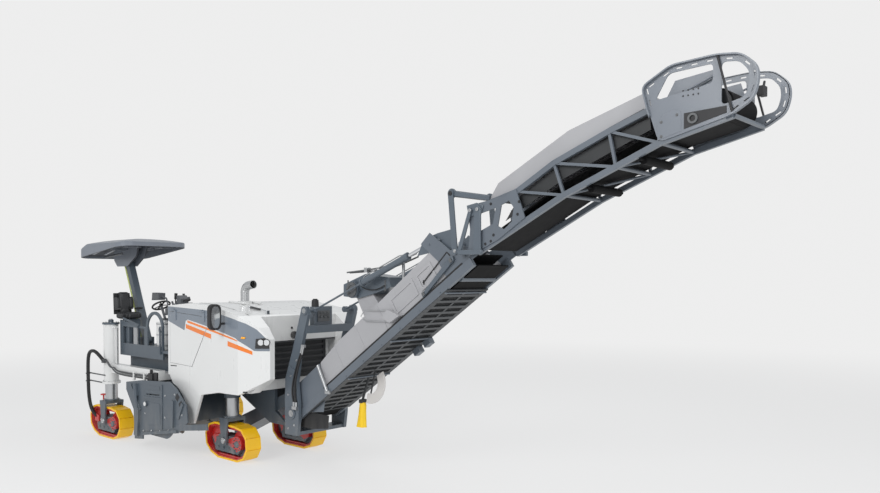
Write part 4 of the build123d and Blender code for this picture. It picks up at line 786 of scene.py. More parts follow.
# Front leg sleeves and rear leg towers: turned guide tubes, the rear ones white with slate flanges and knobs,
# slim pipes clipped to them, and the cover sheet of the hydraulic lines on the arm.
dress(slate_enamel, "front_leg_sleeves")
TOWER_X = -3.07
TOWER_Y = 1.115
for y in (-TOWER_Y, TOWER_Y):
    repaint("rear_leg_towers", slate_enamel, lambda c, way: abs(c.y - y) < 0.2 and abs(c.x - TOWER_X) < 0.16
            and c.z > 1.999)
    cap = bmesh.new()
    add_bolts(cap, [(TOWER_X + 0.122 * cos(k * pi / 4 + 0.3), y + 0.122 * sin(k * pi / 4 + 0.3), 2.03)
                    for k in range(8)], (0, 0, 1), radius=0.009, height=0.013)
    add_ring(cap, (TOWER_X, y, 2.0803), (0, 0, 1), 0.03, 0.012, 0.014, sides=20)
    add_bolts(cap, [(TOWER_X + 0.14 * cos(k * pi / 4), y + 0.14 * sin(k * pi / 4), 0.99) for k in range(8)],
              (0, 0, 1), radius=0.008, height=0.01)
    finished(f"tower_cap_bolts_{'right' if y < 0 else 'left'}", cap, bright_steel, "machine", bevel=0.001)
soften(0.004, "rear_leg_towers")
hose_black = coat("hose_black", (0.014, 0.014, 0.015, 1), (0.05, 0.05, 0.05, 1), Roughness=0.6, Dust=0.2,
                  Skin=0.6)
hose_grey = coat("hose_grey", (0.10, 0.105, 0.11, 1), (0.2, 0.2, 0.2, 1), Roughness=0.5, Dust=0.2, Skin=0.4)
for k in range(4):
    y = -1.187 - 0.017 * (k % 2)
    z = 1.12 + 0.022 * k
    tube(f"arm_hose_{k}", [(-2.98 + 0.03 * k, y - 0.07, 1.40 - 0.02 * k),
                           (-2.95 + 0.03 * k, y - 0.03, 1.32 - 0.03 * k),
                           (-2.86 + 0.03 * k, y, z + 0.09), (-2.72, y, z + 0.03), (-2.3, y, z + 0.02),
                           (-1.9, y, z + 0.028), (-1.52, y, z + 0.03)], 0.0085, hose_grey, "machine")
clips = bmesh.new()
add_block(clips, -2.10, -2.055, -1.212, -1.1752, 1.10, 1.24)
add_block(clips, -1.745, -1.70, -1.212, -1.1752, 1.12, 1.235)
finished("hose_clips", clips, white_enamel, "machine", bevel=0.004)
junction = bmesh.new()
add_block(junction, -1.55, -1.42, -1.225, -1.1752, 1.10, 1.26)
add_block(junction, -1.41, -1.305, -1.205, -1.1752, 1.13, 1.28)
add_bar(junction, (-1.60, -1.20, 1.16), (-1.55, -1.20, 1.16), 0.024, sides=6)
add_bar(junction, (-1.60, -1.20, 1.215), (-1.55, -1.20, 1.215), 0.024, sides=6)
add_bar(junction, (-1.49, -1.2, 1.2603), (-1.49, -1.2, 1.32), 0.022, sides=14)
finished("hose_junction", junction, moulded_black, "machine", bevel=0.004)

# Sleeved hose bundle: fixed at the tower, over a bow outside it and down to the rear right track's motor.
bundle_path = bpy.data.curves.new("bundle_path", "CURVE")
bundle_path.dimensions = "3D"
BUNDLE = [(-3.02, -1.275, 1.36), (-3.16, -1.30, 1.47), (-3.33, -1.31, 1.53), (-3.50, -1.31, 1.50),
          (-3.565, -1.31, 1.36), (-3.565, -1.31, 1.05), (-3.56, -1.305, 0.72), (-3.53, -1.285, 0.50),
          (-3.45, -1.262, 0.385), (-3.36, -1.247, 0.345)]
line = bundle_path.splines.new("NURBS")
line.points.add(len(BUNDLE) - 1)
for point, place in zip(line.points, BUNDLE):
    point.co = (*at(*place), 1)
line.order_u = 3
line.use_endpoint_u = True
line.resolution_u = 10
bundle_path.bevel_depth = 0.03
bundle_path.bevel_resolution = 5
bundle_path.use_fill_caps = True
curve_thing = bpy.data.objects.new("bundle_curve", bundle_path)
bundle_mesh = bpy.data.meshes.new_from_object(curve_thing)
bpy.data.objects.remove(curve_thing)
bundle_mesh.materials.clear()
sleeve_black, tree, shader = new_finish("sleeve_black")
n = nodes_of(tree, {"place": "ShaderNodeTexCoord", "one": "ShaderNodeTexWave", "two": "ShaderNodeTexWave",
                    "weave": "ShaderNodeMath", "bump": "ShaderNodeBump", "tone": "ShaderNodeMapRange"})
for name, way in (("one", "X"), ("two", "Z")):
    n[name].bands_direction = way
    n[name].inputs["Scale"].default_value = 90
    n[name].inputs["Distortion"].default_value = 0.4
    tree.links.new(n["place"].outputs["Object"], n[name].inputs["Vector"])
n["weave"].operation = "MULTIPLY"
tree.links.new(n["one"].outputs["Fac"], n["weave"].inputs[0])
tree.links.new(n["two"].outputs["Fac"], n["weave"].inputs[1])
n["bump"].inputs["Strength"].default_value = 0.6
n["bump"].inputs["Distance"].default_value = 0.002
tree.links.new(n["weave"].outputs[0], n["bump"].inputs["Height"])
tree.links.new(n["bump"].outputs[0], shader.inputs["Normal"])
n["tone"].inputs["To Min"].default_value = 0.5
n["tone"].inputs["To Max"].default_value = 0.8
tree.links.new(n["weave"].outputs[0], n["tone"].inputs["Value"])
tree.links.new(n["tone"].outputs[0], shader.inputs["Roughness"])
shader.inputs["Base Color"].default_value = (0.012, 0.012, 0.013, 1)
bundle_mesh.materials.append(sleeve_black)
bundle_mesh.shade_smooth()
bundle = bpy.data.objects.new("sleeved_hose_bundle", bundle_mesh)
bpy.context.scene.collection.objects.link(bundle)
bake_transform(bundle)
holder = bmesh.new()
add_block(holder, -3.06, -3.0, -1.30, -1.2412, 1.325, 1.395)
add_bar(holder, (-3.67, -1.2412, 1.10), (-3.04, -1.2412, 1.10), 0.012)
add_bar(holder, (-3.66, -1.2412, 0.965), (-3.16, -1.2412, 0.965), 0.012)
for z in (1.10, 0.965):
    add_bar(holder, (-3.60, -1.335, z), (-3.60, -1.23, z), 0.012)
finished("hose_holder", holder, hose_grey, "machine", bevel=0.002)
pipe_foot = bmesh.new()
add_plate(pipe_foot, [(-3.42, 0.26), (-3.27, 0.26), (-3.27, 0.37), (-3.36, 0.39), (-3.42, 0.36)],
          -1.262, -1.2257)
finished("motor_hose_block", pipe_foot, red_enamel, "track_unit_rear_right", bevel=0.006)
valve = bmesh.new()
add_bar(valve, (-3.20, -1.20, 0.6503), (-3.20, -1.20, 0.75), 0.014)
add_ring(valve, (-3.20, -1.20, 0.735), (0, 0, 1), 0.052, 0.034, 0.02, sides=24)
add_block(valve, -3.245, -3.155, -1.206, -1.194, 0.74, 0.75)
add_block(valve, -3.206, -3.194, -1.245, -1.155, 0.74, 0.75)
finished("red_hand_wheel", valve, red_enamel, "track_unit_rear_right", bevel=0.003)

# Drum box and side plate: cutting drum of bare steel with worn tools, white knob, grip slot, the mesh of
# openings round the drum's arch painted black as the shade inside them, and lashing rings.
worn_steel = coat("worn_steel", (0.16, 0.15, 0.14, 1), (0.45, 0.43, 0.40, 1), metallic=0.7, Roughness=0.5,
                  Dust=0.35)
dress(worn_steel, "milling_drum")
PLATE_Y = -1.25
knob = bmesh.new()
add_bar(knob, (-1.56, PLATE_Y - 0.0302, 0.76), (-1.56, PLATE_Y - 0.038, 0.76), 0.036, sides=28, tip=0.033)
finished("plate_knob_cap", knob, white_enamel, "machine", bevel=0.002)
plate_bolts = bmesh.new()
for x, z in ((-1.66, 0.30), (-1.40, 0.335), (-1.12, 0.365), (-0.86, 0.41), (-0.96, 0.95), (-0.96, 0.60),
             (-1.60, 0.60), (-1.90, 1.00), (-0.66, 1.00), (-0.45, 0.70)):
    add_bolts(plate_bolts, [(x, PLATE_Y, z)], (0, -1, 0), radius=0.013, height=0.012)
finished("plate_bolts", plate_bolts, bright_steel, "machine", bevel=0.001)
panels = bmesh.new()
add_plate(panels, [(-1.50, 0.42), (-1.12, 0.47), (-1.12, 0.80), (-1.50, 0.80)], PLATE_Y - 0.006, PLATE_Y)
add_plate(panels, [(-1.50, 1.0), (-1.12, 1.02), (-1.12, 1.08), (-1.50, 1.07)], PLATE_Y - 0.006, PLATE_Y)
finished("plate_pads", panels, slate_enamel, "machine", bevel=0.003)
# Black patches on the side plate round the drum's arch: painted shade in its hollows.
arch_painted_shade = bmesh.new()
for k in range(7):
    angle = radians(-8 + 15 * k)
    x, z = -0.93 + 0.56 * cos(angle), 0.52 + 0.56 * sin(angle)
    turn = Vector((cos(angle), sin(angle)))
    side = Vector((-turn.y, turn.x))
    corners = [Vector((x, z)) + turn * a + side * b for a, b in ((-0.05, -0.045), (0.05, -0.045),
                                                                 (0.05, 0.045), (-0.05, 0.045))]
    if all(p.x < -0.37 and p.y < 1.05 for p in corners):
        add_plate(arch_painted_shade, [(p.x, p.y) for p in corners], PLATE_Y - 0.002, PLATE_Y)
finished("arch_openings_painted_shade", arch_painted_shade, moulded_black, "machine")

# Platform: welded bays with a grab rail, the white canister in its arch, and the console with two screens,
# a joystick and its arm rests.
dress(slate_enamel, "seat_stand", "mast_bracket", "canopy_mast")
canopy_grey = coat("canopy_grey", (0.185, 0.205, 0.24, 1), (0.3, 0.32, 0.35, 1), coat_weight=0.25,
                   Roughness=0.4, Dust=0.15, Skin=0.2)
# The roof's downward faces get a far darker grey than its top: painted shade on the canopy's underside.
canopy_painted_shade = coat("canopy_painted_shade", (0.045, 0.05, 0.06, 1), (0.1, 0.1, 0.1, 1), Roughness=0.6, Dust=0.1)
link_yellow = coat("link_yellow", (0.50, 0.56, 0.16, 1), (0.7, 0.7, 0.5, 1), coat_weight=0.3, Roughness=0.4,
                   Dust=0.1)
dress(canopy_grey, "canopy_roof")
repaint("canopy_roof", canopy_painted_shade, lambda c, way: way.z < -0.3)
dress(link_yellow, "canopy_link")
console_grey = coat("console_grey", (0.085, 0.09, 0.10, 1), (0.2, 0.2, 0.2, 1), Roughness=0.55, Dust=0.2,
                    Skin=0.5)
dress(console_grey, "console")
screen_glass, tree, shader = new_finish("screen_glass")
n = nodes_of(tree, {"place": "ShaderNodeTexCoord", "smear": "ShaderNodeTexNoise",
                    "tone": "ShaderNodeMapRange"})
n["smear"].inputs["Scale"].default_value = 14
n["tone"].inputs["To Min"].default_value = 0.06
n["tone"].inputs["To Max"].default_value = 0.22
tree.links.new(n["place"].outputs["Object"], n["smear"].inputs["Vector"])
tree.links.new(n["smear"].outputs["Fac"], n["tone"].inputs["Value"])
tree.links.new(n["tone"].outputs[0], shader.inputs["Roughness"])
shader.inputs["Base Color"].default_value = (0.02, 0.024, 0.03, 1)
shader.inputs["Coat Weight"].default_value = 1
boxes = bmesh.new()
add_plate(boxes, [(-1.90, 2.345), (-1.58, 2.4305), (-1.60, 2.50), (-1.915, 2.415)], -0.52, -0.42)
add_plate(boxes, [(-1.56, 2.4002), (-1.43, 2.335), (-1.43, 2.47), (-1.49, 2.53), (-1.56, 2.52)], -0.70, -0.55)
add_plate(boxes, [(-2.36, 2.43), (-2.11, 2.44), (-2.10, 2.56), (-2.34, 2.565)], -0.72, -0.60)
add_bar(boxes, (-1.88, -0.66, 2.2966), (-1.96, -0.66, 2.47), 0.014)
add_bar(boxes, (-1.96, -0.66, 2.47), (-2.12, -0.66, 2.50), 0.014)
add_bar(boxes, (-1.74, -0.65, 2.3362), (-1.79, -0.65, 2.42), 0.018)
finished("console_boxes", boxes, console_grey, "machine", bevel=0.01)
panes = bmesh.new()
add_plate(panes, [(-2.335, 2.45), (-2.135, 2.458), (-2.127, 2.545), (-2.325, 2.548)], -0.7215, -0.72)
add_plate(panes, [(-2.3625, 2.45), (-2.3603, 2.45), (-2.3453, 2.55), (-2.3475, 2.55)], -0.71, -0.61)
add_plate(panes, [(-1.5625, 2.42), (-1.5605, 2.42), (-1.5605, 2.51), (-1.5625, 2.51)], -0.69, -0.56)
finished("console_screens", panes, screen_glass, "machine")
lever = bmesh.new()
add_bar(lever, (-1.66, -0.66, 2.3572), (-1.66, -0.66, 2.47), 0.009)
add_bar(lever, (-1.66, -0.66, 2.46), (-1.64, -0.66, 2.56), 0.022, tip=0.027)
add_bar(lever, (-1.43, -0.64, 2.44), (-1.30, -0.64, 2.455), 0.014)
add_bar(lever, (-1.33, -0.64, 2.452), (-1.24, -0.64, 2.46), 0.026, tip=0.022)
add_bar(lever, (-1.75, -0.45, 2.464), (-1.76, -0.45, 2.55), 0.014, tip=0.022)
for k in range(5):
    add_bar(lever, (-1.72 + 0.03 * k, -0.495, 2.379 + 0.008 * k),
            (-1.722 + 0.03 * k, -0.495, 2.39 + 0.008 * k), 0.008)
finished("console_levers", lever, moulded_black, "machine", bevel=0.003)
rail = bmesh.new()
WALL_Y = -1.04
add_bar(rail, (-2.72, WALL_Y - 0.0182, 2.115), (-2.16, WALL_Y - 0.0182, 2.015), 0.018, sides=16)
add_block(rail, -2.68, -2.655, WALL_Y - 0.02, WALL_Y, 2.05, 2.12)
add_block(rail, -2.24, -2.215, WALL_Y - 0.02, WALL_Y, 1.96, 2.03)
add_bar(rail, (-1.455, WALL_Y - 0.02, 1.56), (-1.455, WALL_Y - 0.02, 2.02), 0.015, sides=16)
add_block(rail, -1.467, -1.443, WALL_Y - 0.02, WALL_Y, 1.57, 1.60)
add_block(rail, -1.467, -1.443, WALL_Y - 0.02, WALL_Y, 1.92, 1.95)
finished("grab_rails", rail, slate_enamel, "machine", bevel=0.001)
post = bmesh.new()
add_block(post, -2.40, -2.28, -1.038, -1.012, 1.6205, 2.02)
add_block(post, -2.415, -2.265, -1.0385, -1.0115, 1.60, 1.622)
post_grey = coat("post_grey", (0.30, 0.31, 0.32, 1), (0.5, 0.5, 0.5, 1), Roughness=0.4, Dust=0.15)
finished("entry_post", post, post_grey, "machine", bevel=0.003)
CANISTER = (-1.68, -0.86)
rims = bmesh.new()
for z in (1.68, 1.86, 2.04):
    add_ring(rims, (*CANISTER, z), (0, 0, 1), 0.1235, 0.1203, 0.022, sides=48)
finished("canister_straps", rims, bright_steel, "machine")
marks = bmesh.new()
for angle in (-1.2, -0.75):
    x, y = CANISTER[0] + 0.1204 * cos(angle), CANISTER[1] + 0.1204 * sin(angle)
    add_bar(marks, (x, y, 1.93), (x, y, 1.985), 0.012, sides=12)
finished("canister_catches", marks, moulded_black, "machine")
lamp = bmesh.new()
add_block(lamp, -3.66, -3.53, -0.66, -0.54, 3.055, 3.12)
add_bar(lamp, (-3.58, -0.95, 3.20), (-2.95, -0.95, 3.255), 0.02, sides=12)
finished("roof_lamp_box", lamp, console_grey, "roof", bevel=0.006)
ribs = bmesh.new()
for y in (-1.02, -0.80, -0.40, -0.18):
    add_plate(ribs, [(-3.95, 3.265), (-3.4, 3.38), (-2.95, 3.392), (-2.6, 3.375), (-2.6, 3.36),
                     (-2.95, 3.372), (-3.4, 3.36), (-3.95, 3.25)], y - 0.02, y + 0.02)
finished("roof_under_ribs", ribs, canopy_grey, "roof", bevel=0.004)
wheel_cap = bmesh.new()
WHEEL_LEAN = radians(30)
tilt = Vector((-sin(WHEEL_LEAN), 0, cos(WHEEL_LEAN)))
hub = Vector((-2.25, -0.60, 2.34))
add_bar(wheel_cap, hub + tilt * 0.0155, hub + tilt * 0.03, 0.034, sides=28, tip=0.028)
for k in range(3):
    a = radians(90 + 120 * k)
    across = Vector((cos(WHEEL_LEAN) * cos(a), sin(a), sin(WHEEL_LEAN) * cos(a)))
    add_bar(wheel_cap, hub + across * 0.03 + tilt * 0.004, hub + across * 0.142 + tilt * 0.002, 0.009,
            sides=10)
finished("wheel_cap", wheel_cap, moulded_black, "machine", bevel=0.003)

# Seat: moulded foam cushion and back in black vinyl, crowned between its edges, with a piped seam round each
# and two sewn channels. It takes the place of the plain solid.
vinyl, tree, shader = new_finish("seat_vinyl")
n = nodes_of(tree, {"place": "ShaderNodeTexCoord", "grain": "ShaderNodeTexVoronoi",
                    "broad": "ShaderNodeTexNoise", "bump": "ShaderNodeBump", "tone": "ShaderNodeMapRange",
                    "shade": "ShaderNodeMix"})
n["grain"].inputs["Scale"].default_value = 420
n["broad"].inputs["Scale"].default_value = 6
tree.links.new(n["place"].outputs["Object"], n["grain"].inputs["Vector"])
tree.links.new(n["place"].outputs["Object"], n["broad"].inputs["Vector"])
n["bump"].inputs["Strength"].default_value = 0.5
n["bump"].inputs["Distance"].default_value = 0.001
tree.links.new(n["grain"].outputs["Distance"], n["bump"].inputs["Height"])
tree.links.new(n["bump"].outputs[0], shader.inputs["Normal"])
n["tone"].inputs["To Min"].default_value = 0.42
n["tone"].inputs["To Max"].default_value = 0.6
tree.links.new(n["broad"].outputs["Fac"], n["tone"].inputs["Value"])
tree.links.new(n["tone"].outputs[0], shader.inputs["Roughness"])
n["shade"].data_type = "RGBA"
n["shade"].inputs["A"].default_value = (0.018, 0.019, 0.021, 1)
n["shade"].inputs["B"].default_value = (0.034, 0.035, 0.038, 1)
tree.links.new(n["broad"].outputs["Fac"], n["shade"].inputs["Factor"])
tree.links.new(n["shade"].outputs["Result"], shader.inputs["Base Color"])
SWELL_CAP = 0.012
CLOTH_STEPS = 20
SEAT_Y = -0.885
SEAT_BACK = (-3.05, SEAT_Y, 2.37)
CHANNELS = (-0.09, 0.09)


def padded_block(name, size, place, turn, channels):
    """Cushion with rounded corners, blown up a little by cloth pressure, with channels sewn along it."""
    form = bmesh.new()
    bmesh.ops.create_cube(form, size=1)
    for v in form.verts:
        v.co = Vector((v.co.x * size[0], v.co.y * size[1], v.co.z * size[2]))
    upright_edges = [e for e in form.edges if abs(e.verts[0].co.z - e.verts[1].co.z) > size[2] / 2]
    bmesh.ops.bevel(form, geom=upright_edges, offset=min(size[0], size[1]) * 0.26, segments=6, affect="EDGES")
    flat_edges = [e for e in form.edges if e.calc_face_angle(0) > 1.3]
    bmesh.ops.bevel(form, geom=flat_edges, offset=size[2] * 0.34, segments=4, affect="EDGES", profile=0.6)
    mesh = bpy.data.meshes.new(name)
    form.to_mesh(mesh)
    form.free()
    thing = bpy.data.objects.new(name, mesh)
    bpy.context.scene.collection.objects.link(thing)
    remesh = thing.modifiers.new("remesh", "REMESH")
    remesh.mode = "VOXEL"
    remesh.voxel_size = 0.0085
    flat = bpy.data.meshes.new_from_object(thing.evaluated_get(bpy.context.evaluated_depsgraph_get()))
    thing.modifiers.clear()
    thing.data = flat
    before = [v.co.copy() for v in flat.vertices]
    cloth = thing.modifiers.new("cloth", "CLOTH")
    cloth.settings.use_pressure = True
    cloth.settings.uniform_pressure_force = 4
    cloth.settings.effector_weights.gravity = 0
    cloth.point_cache.frame_end = CLOTH_STEPS
    for step in range(1, CLOTH_STEPS + 1):
        bpy.context.scene.frame_set(step)
    blown = bpy.data.meshes.new_from_object(thing.evaluated_get(bpy.context.evaluated_depsgraph_get()))
    thing.modifiers.clear()
    thing.data = blown
    for v, old in zip(blown.vertices, before):
        shift = v.co - old
        if shift.length > SWELL_CAP:
            v.co = old + shift * (SWELL_CAP / shift.length)
    bpy.context.scene.frame_set(1)
    for v in thing.data.vertices:
        if v.co.z > 0:
            for y in channels:
                near = abs(v.co.y - y) / 0.022
                if near < 1:
                    v.co.z -= 0.011 * (1 - near * near) ** 2 * min(1, v.co.z / (size[2] * 0.3))
            edge = max(abs(v.co.x) / size[0], abs(v.co.y) / size[1]) * 2
            if 0.80 < edge < 0.94:
                v.co.z -= 0.006 * (1 - ((edge - 0.87) / 0.07) ** 2)
    thing.data.transform(Matrix.Translation(at(*place)) @ turn)
    thing.data.materials.clear()
    thing.data.materials.append(vinyl)
    thing.data.shade_smooth()
    thing.modifiers.new("soft", "SUBSURF").render_levels = 1
    thing.modifiers["soft"].levels = 0
    return thing


cushion = padded_block("seat_cushion", (0.430, 0.400, 0.095), (-2.86, SEAT_Y, 2.157), Matrix.Identity(4),
                       CHANNELS)
backrest = padded_block("seat_back", (0.42, 0.36, 0.085), SEAT_BACK, Matrix.Rotation(radians(82), 4, "Y"),
                        CHANNELS)
for thing in (cushion, backrest):
    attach(thing, "machine")
shell = bmesh.new()
back_turn = Matrix.Rotation(radians(-8), 4, "Y")
SHELL_UP = 0.19
SHELL_OUT = 0.17
shell_edge = ((-1, -SHELL_UP), (1, -SHELL_UP), (0.9, SHELL_UP), (-0.9, SHELL_UP))
corners = [Vector((-0.056, SHELL_OUT * a, h)) for a, h in shell_edge]
rings = []
for lift in (0, -0.012):
    rings.append([shell.verts.new(at(*SEAT_BACK) + back_turn @ (c + Vector((lift, 0, 0)))) for c in corners])
shell.faces.new(rings[0])
shell.faces.new(rings[1][::-1])
for k in range(4):
    j = (k + 1) % 4
    shell.faces.new((rings[0][j], rings[0][k], rings[1][k], rings[1][j]))
finished("seat_back_shell", shell, moulded_black, "machine", bevel=0.005)
arms = bmesh.new()
for side in (-1, 1):
    y = SEAT_Y + side * 0.19
    add_bar(arms, (-3.0, y, 2.27), (-2.75, y, 2.285), 0.018, sides=14)
finished("seat_arm_rests", arms, moulded_black, "machine", bevel=0.006)
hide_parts("operator_seat")

# Slewing tower: two bent arms in slate on the bearing, with pivot pins of ground steel in collars, the valve
# box's cap and ports behind the cross beam, and hoses down the right arm.
arm_slate = coat("arm_slate", (0.090, 0.112, 0.137, 1), SLATE_EDGE_WEAR_AND_HIGHLIGHT, coat_weight=0.25, Roughness=0.38,
                 Dust=0.25, Edge=0.5)
dress(arm_slate, "slew_tower", "lift_barrels", "fold_rocker", "fold_tie")
soften(0.006, "slew_tower")
FOOT = (1.28, 0.83)
HEAD = (1.59, 2.35)
ARM_OUT = 0.478
pins = bmesh.new()
for side in (-1, 1):
    for (x, z), radius in ((FOOT, 0.05), (HEAD, 0.038)):
        add_bar(pins, (x, side * ARM_OUT, z), (x, side * (ARM_OUT + 0.018), z), radius, sides=24)
        add_bar(pins, (x, side * (ARM_OUT + 0.018), z), (x, side * (ARM_OUT + 0.028), z), radius * 0.45,
                sides=6)
    for x, z in ((1.20, 0.60), (1.34, 0.66), (1.20, 1.10), (1.36, 1.10), (1.26, 1.38), (1.40, 1.62)):
        add_bolts(pins, [(x, side * ARM_OUT, z)], (0, side, 0), radius=0.012, height=0.012)
finished("tower_pins", pins, bright_steel, "tower", bevel=0.002)
collars = bmesh.new()
for side in (-1, 1):
    for (x, z), radius in ((FOOT, 0.085), (HEAD, 0.065)):
        add_ring(collars, (x, side * (ARM_OUT + 0.0003), z), (0, side, 0), radius, radius * 0.62, 0.016,
                 sides=32)
finished("tower_collars", collars, arm_slate, "tower", bevel=0.004)
valves = bmesh.new()
add_bar(valves, (1.49, -0.20, 2.4003), (1.49, -0.20, 2.50), 0.055, sides=24, tip=0.05)
add_bar(valves, (1.49, -0.20, 2.50), (1.49, -0.20, 2.515), 0.035, sides=24)
finished("valve_cap", valves, moulded_black, "tower", bevel=0.004)
taps = bmesh.new()
add_block(taps, 1.5402, 1.56, -0.20, 0.02, 2.18, 2.34)
for k in range(3):
    add_bar(taps, (1.56, -0.16 + 0.07 * k, 2.25), (1.60, -0.16 + 0.07 * k, 2.25), 0.018, sides=6)
    add_bar(taps, (1.56, -0.16 + 0.07 * k, 2.31), (1.585, -0.16 + 0.07 * k, 2.31), 0.013, sides=12)
finished("valve_ports", taps, hose_grey, "tower", bevel=0.002)
HOSE_Y = -0.50
tube("tower_hose_long", [(1.56, HOSE_Y, 1.72), (1.50, HOSE_Y - 0.015, 1.58), (1.42, HOSE_Y - 0.015, 1.34),
                         (1.38, HOSE_Y, 1.15), (1.40, HOSE_Y, 1.05), (1.415, HOSE_Y, 1.0)],
     0.016, hose_black, "tower")
tube("tower_hose_short", [(1.53, HOSE_Y, 1.74), (1.46, HOSE_Y, 1.60), (1.36, HOSE_Y, 1.36),
                          (1.32, HOSE_Y, 1.18), (1.34, HOSE_Y, 1.05), (1.36, HOSE_Y, 1.0)],
     0.013, hose_black, "tower")
hose_ends = bmesh.new()
for x, z in ((1.56, 1.72), (1.53, 1.74)):
    add_bar(hose_ends, (x, HOSE_Y, z), (x + 0.035, HOSE_Y, z + 0.11), 0.017, sides=6)
for x in (1.36, 1.415):
    add_bar(hose_ends, (x, HOSE_Y, 0.94), (x, HOSE_Y, 1.01), 0.018, sides=6)
add_block(hose_ends, 1.33, 1.435, HOSE_Y - 0.018, -0.478, 0.90, 0.945)
add_block(hose_ends, 1.55, 1.62, HOSE_Y - 0.014, -0.478, 1.82, 1.86)
finished("tower_hose_ends", hose_ends, bright_steel, "tower", bevel=0.001)

# Swivel tongue: hexagon bolts of ground steel round the tower's bearing plate. The black rubber of the aprons
# and seals further on is mixed here too.
apron_rubber = coat("apron_rubber", (0.016, 0.016, 0.017, 1), (0.05, 0.05, 0.05, 1), Roughness=0.7, Dust=0.25,
                    Skin=0.6)
tongue_bolts = bmesh.new()
for k in range(12):
    a = 2 * pi * k / 12 + 0.15
    if cos(a) > -0.3:
        add_bolts(tongue_bolts, [(1.12 + 0.205 * cos(a), 0.205 * sin(a), 0.6)], (0, 0, 1), radius=0.013,
                  height=0.014)
finished("tongue_bolts", tongue_bolts, bright_steel, "machine", bevel=0.001)

# Lift cylinders: slate barrels with gland nuts and feed pipes, chromed rods.
UP = Vector((2.3, 0.91)).normalized()


def on_cylinder(distance, off=0):
    """Side point on the cylinder's line from the tower head, off to its upper side."""
    return (HEAD[0] + UP.x * distance - UP.y * off, HEAD[1] + UP.y * distance + UP.x * off)


for side, name in ((-1, "right"), (1, "left")):
    glands = bmesh.new()
    y = side * 0.3
    x0, z0 = on_cylinder(2.0)
    add_ring(glands, (x0, y, z0), (UP.x, 0, UP.y), 0.0535, 0.0452, 0.056, sides=28)
    x0, z0 = on_cylinder(1.10)
    add_ring(glands, (x0, y, z0), (UP.x, 0, UP.y), 0.0535, 0.0452, 0.03, sides=28)
    finished(f"cylinder_glands_{name}", glands, arm_slate, "lift_barrel", bevel=0.002)
    ends = [on_cylinder(d, off) for d, off in ((1.16, 0.05), (1.20, 0.066), (1.9, 0.066), (1.96, 0.05))]
    tube(f"cylinder_pipe_{name}", [(x, y, z) for x, z in ends], 0.008, bright_steel, "lift_barrel",
         smooth=False)

# Loading conveyor, lower section: slate box rails, a perforated guard with wire mesh below, and a light grey
# cover with hatches, a dark seal, a stay bar with two grips, pipes, a thin side rail and the dust fan's duct.
SLOPE = radians(34.1)
LONG_WAY = Vector((cos(SLOPE), 0, sin(SLOPE)))
SQUARE_WAY = Vector((-sin(SLOPE), 0, cos(SLOPE)))


def up_conveyor(s, n, y=0.0):
    """Datum point s along the lower rails from the foot pin and n square to them."""
    place = Vector((FOOT[0], y, FOOT[1])) + LONG_WAY * s + SQUARE_WAY * n
    return (place.x, y, place.z)


def in_side(points):
    """Side outline given as (s, n) turned into (x, z)."""
    return [(up_conveyor(s, n)[0], up_conveyor(s, n)[2]) for s, n in points]


rail_slate = coat("rail_slate", (0.112, 0.132, 0.158, 1), SLATE_EDGE_WEAR_AND_HIGHLIGHT, coat_weight=0.2, Roughness=0.4,
                  Dust=0.25, Edge=0.5)
cover_sheet = coat("cover_sheet", (0.36, 0.36, 0.375, 1), (0.5, 0.5, 0.5, 1), coat_weight=0.2, Roughness=0.38,
                   Dust=0.2, Edge=0.3, Tone=0.04, Skin=0.2)
belt_rubber = coat("belt_rubber", (0.005, 0.005, 0.0055, 1), (0.02, 0.02, 0.02, 1), Roughness=0.7, Dust=0,
                   Skin=0.7)
belt_rubber.node_tree.nodes["Principled BSDF"].inputs["Specular IOR Level"].default_value = 0.15
trough_dark = coat("trough_dark", (0.022, 0.024, 0.026, 1), (0.08, 0.08, 0.08, 1), Roughness=0.5, Dust=0.06)
dress(rail_slate, "lower_frame", "outer_frame")
dress(cover_sheet, "lower_cover", "outer_cover")
dress(arm_slate, "blower")
dress(belt_rubber, "lower_belt", "outer_belt")
dress(trough_dark, "head_drum")
soften(0.004, "lower_frame", "outer_frame", "blower")
soften(0.006, "lower_cover", "outer_cover")
perforated, tree, shader = new_finish("perforated_sheet")
n = nodes_of(tree, {"place": "ShaderNodeTexCoord", "turn": "ShaderNodeMapping",
                    "holes": "ShaderNodeTexVoronoi", "round": "ShaderNodeMapRange", "shade": "ShaderNodeMix",
                    "bump": "ShaderNodeBump"})
n["turn"].inputs["Rotation"].default_value = (0, SLOPE, 0)
n["turn"].inputs["Scale"].default_value = (38, 38, 8)
n["holes"].inputs["Scale"].default_value = 1
n["holes"].inputs["Randomness"].default_value = 0
tree.links.new(n["place"].outputs["Object"], n["turn"].inputs["Vector"])
tree.links.new(n["turn"].outputs[0], n["holes"].inputs["Vector"])
n["round"].inputs["From Min"].default_value = 0.26
n["round"].inputs["From Max"].default_value = 0.34
tree.links.new(n["holes"].outputs["Distance"], n["round"].inputs["Value"])
n["shade"].data_type = "RGBA"
n["shade"].inputs["A"].default_value = (0.008, 0.008, 0.009, 1)
n["shade"].inputs["B"].default_value = (0.048, 0.053, 0.058, 1)
tree.links.new(n["round"].outputs[0], n["shade"].inputs["Factor"])
tree.links.new(n["shade"].outputs["Result"], shader.inputs["Base Color"])
n["bump"].inputs["Strength"].default_value = 0.5
n["bump"].inputs["Distance"].default_value = 0.002
tree.links.new(n["round"].outputs[0], n["bump"].inputs["Height"])
tree.links.new(n["bump"].outputs[0], shader.inputs["Normal"])
shader.inputs["Roughness"].default_value = 0.5
dress(perforated, "lower_guard")
COVER_SIDE = 0.3717
ROD_EYE = (3.89, 3.26)
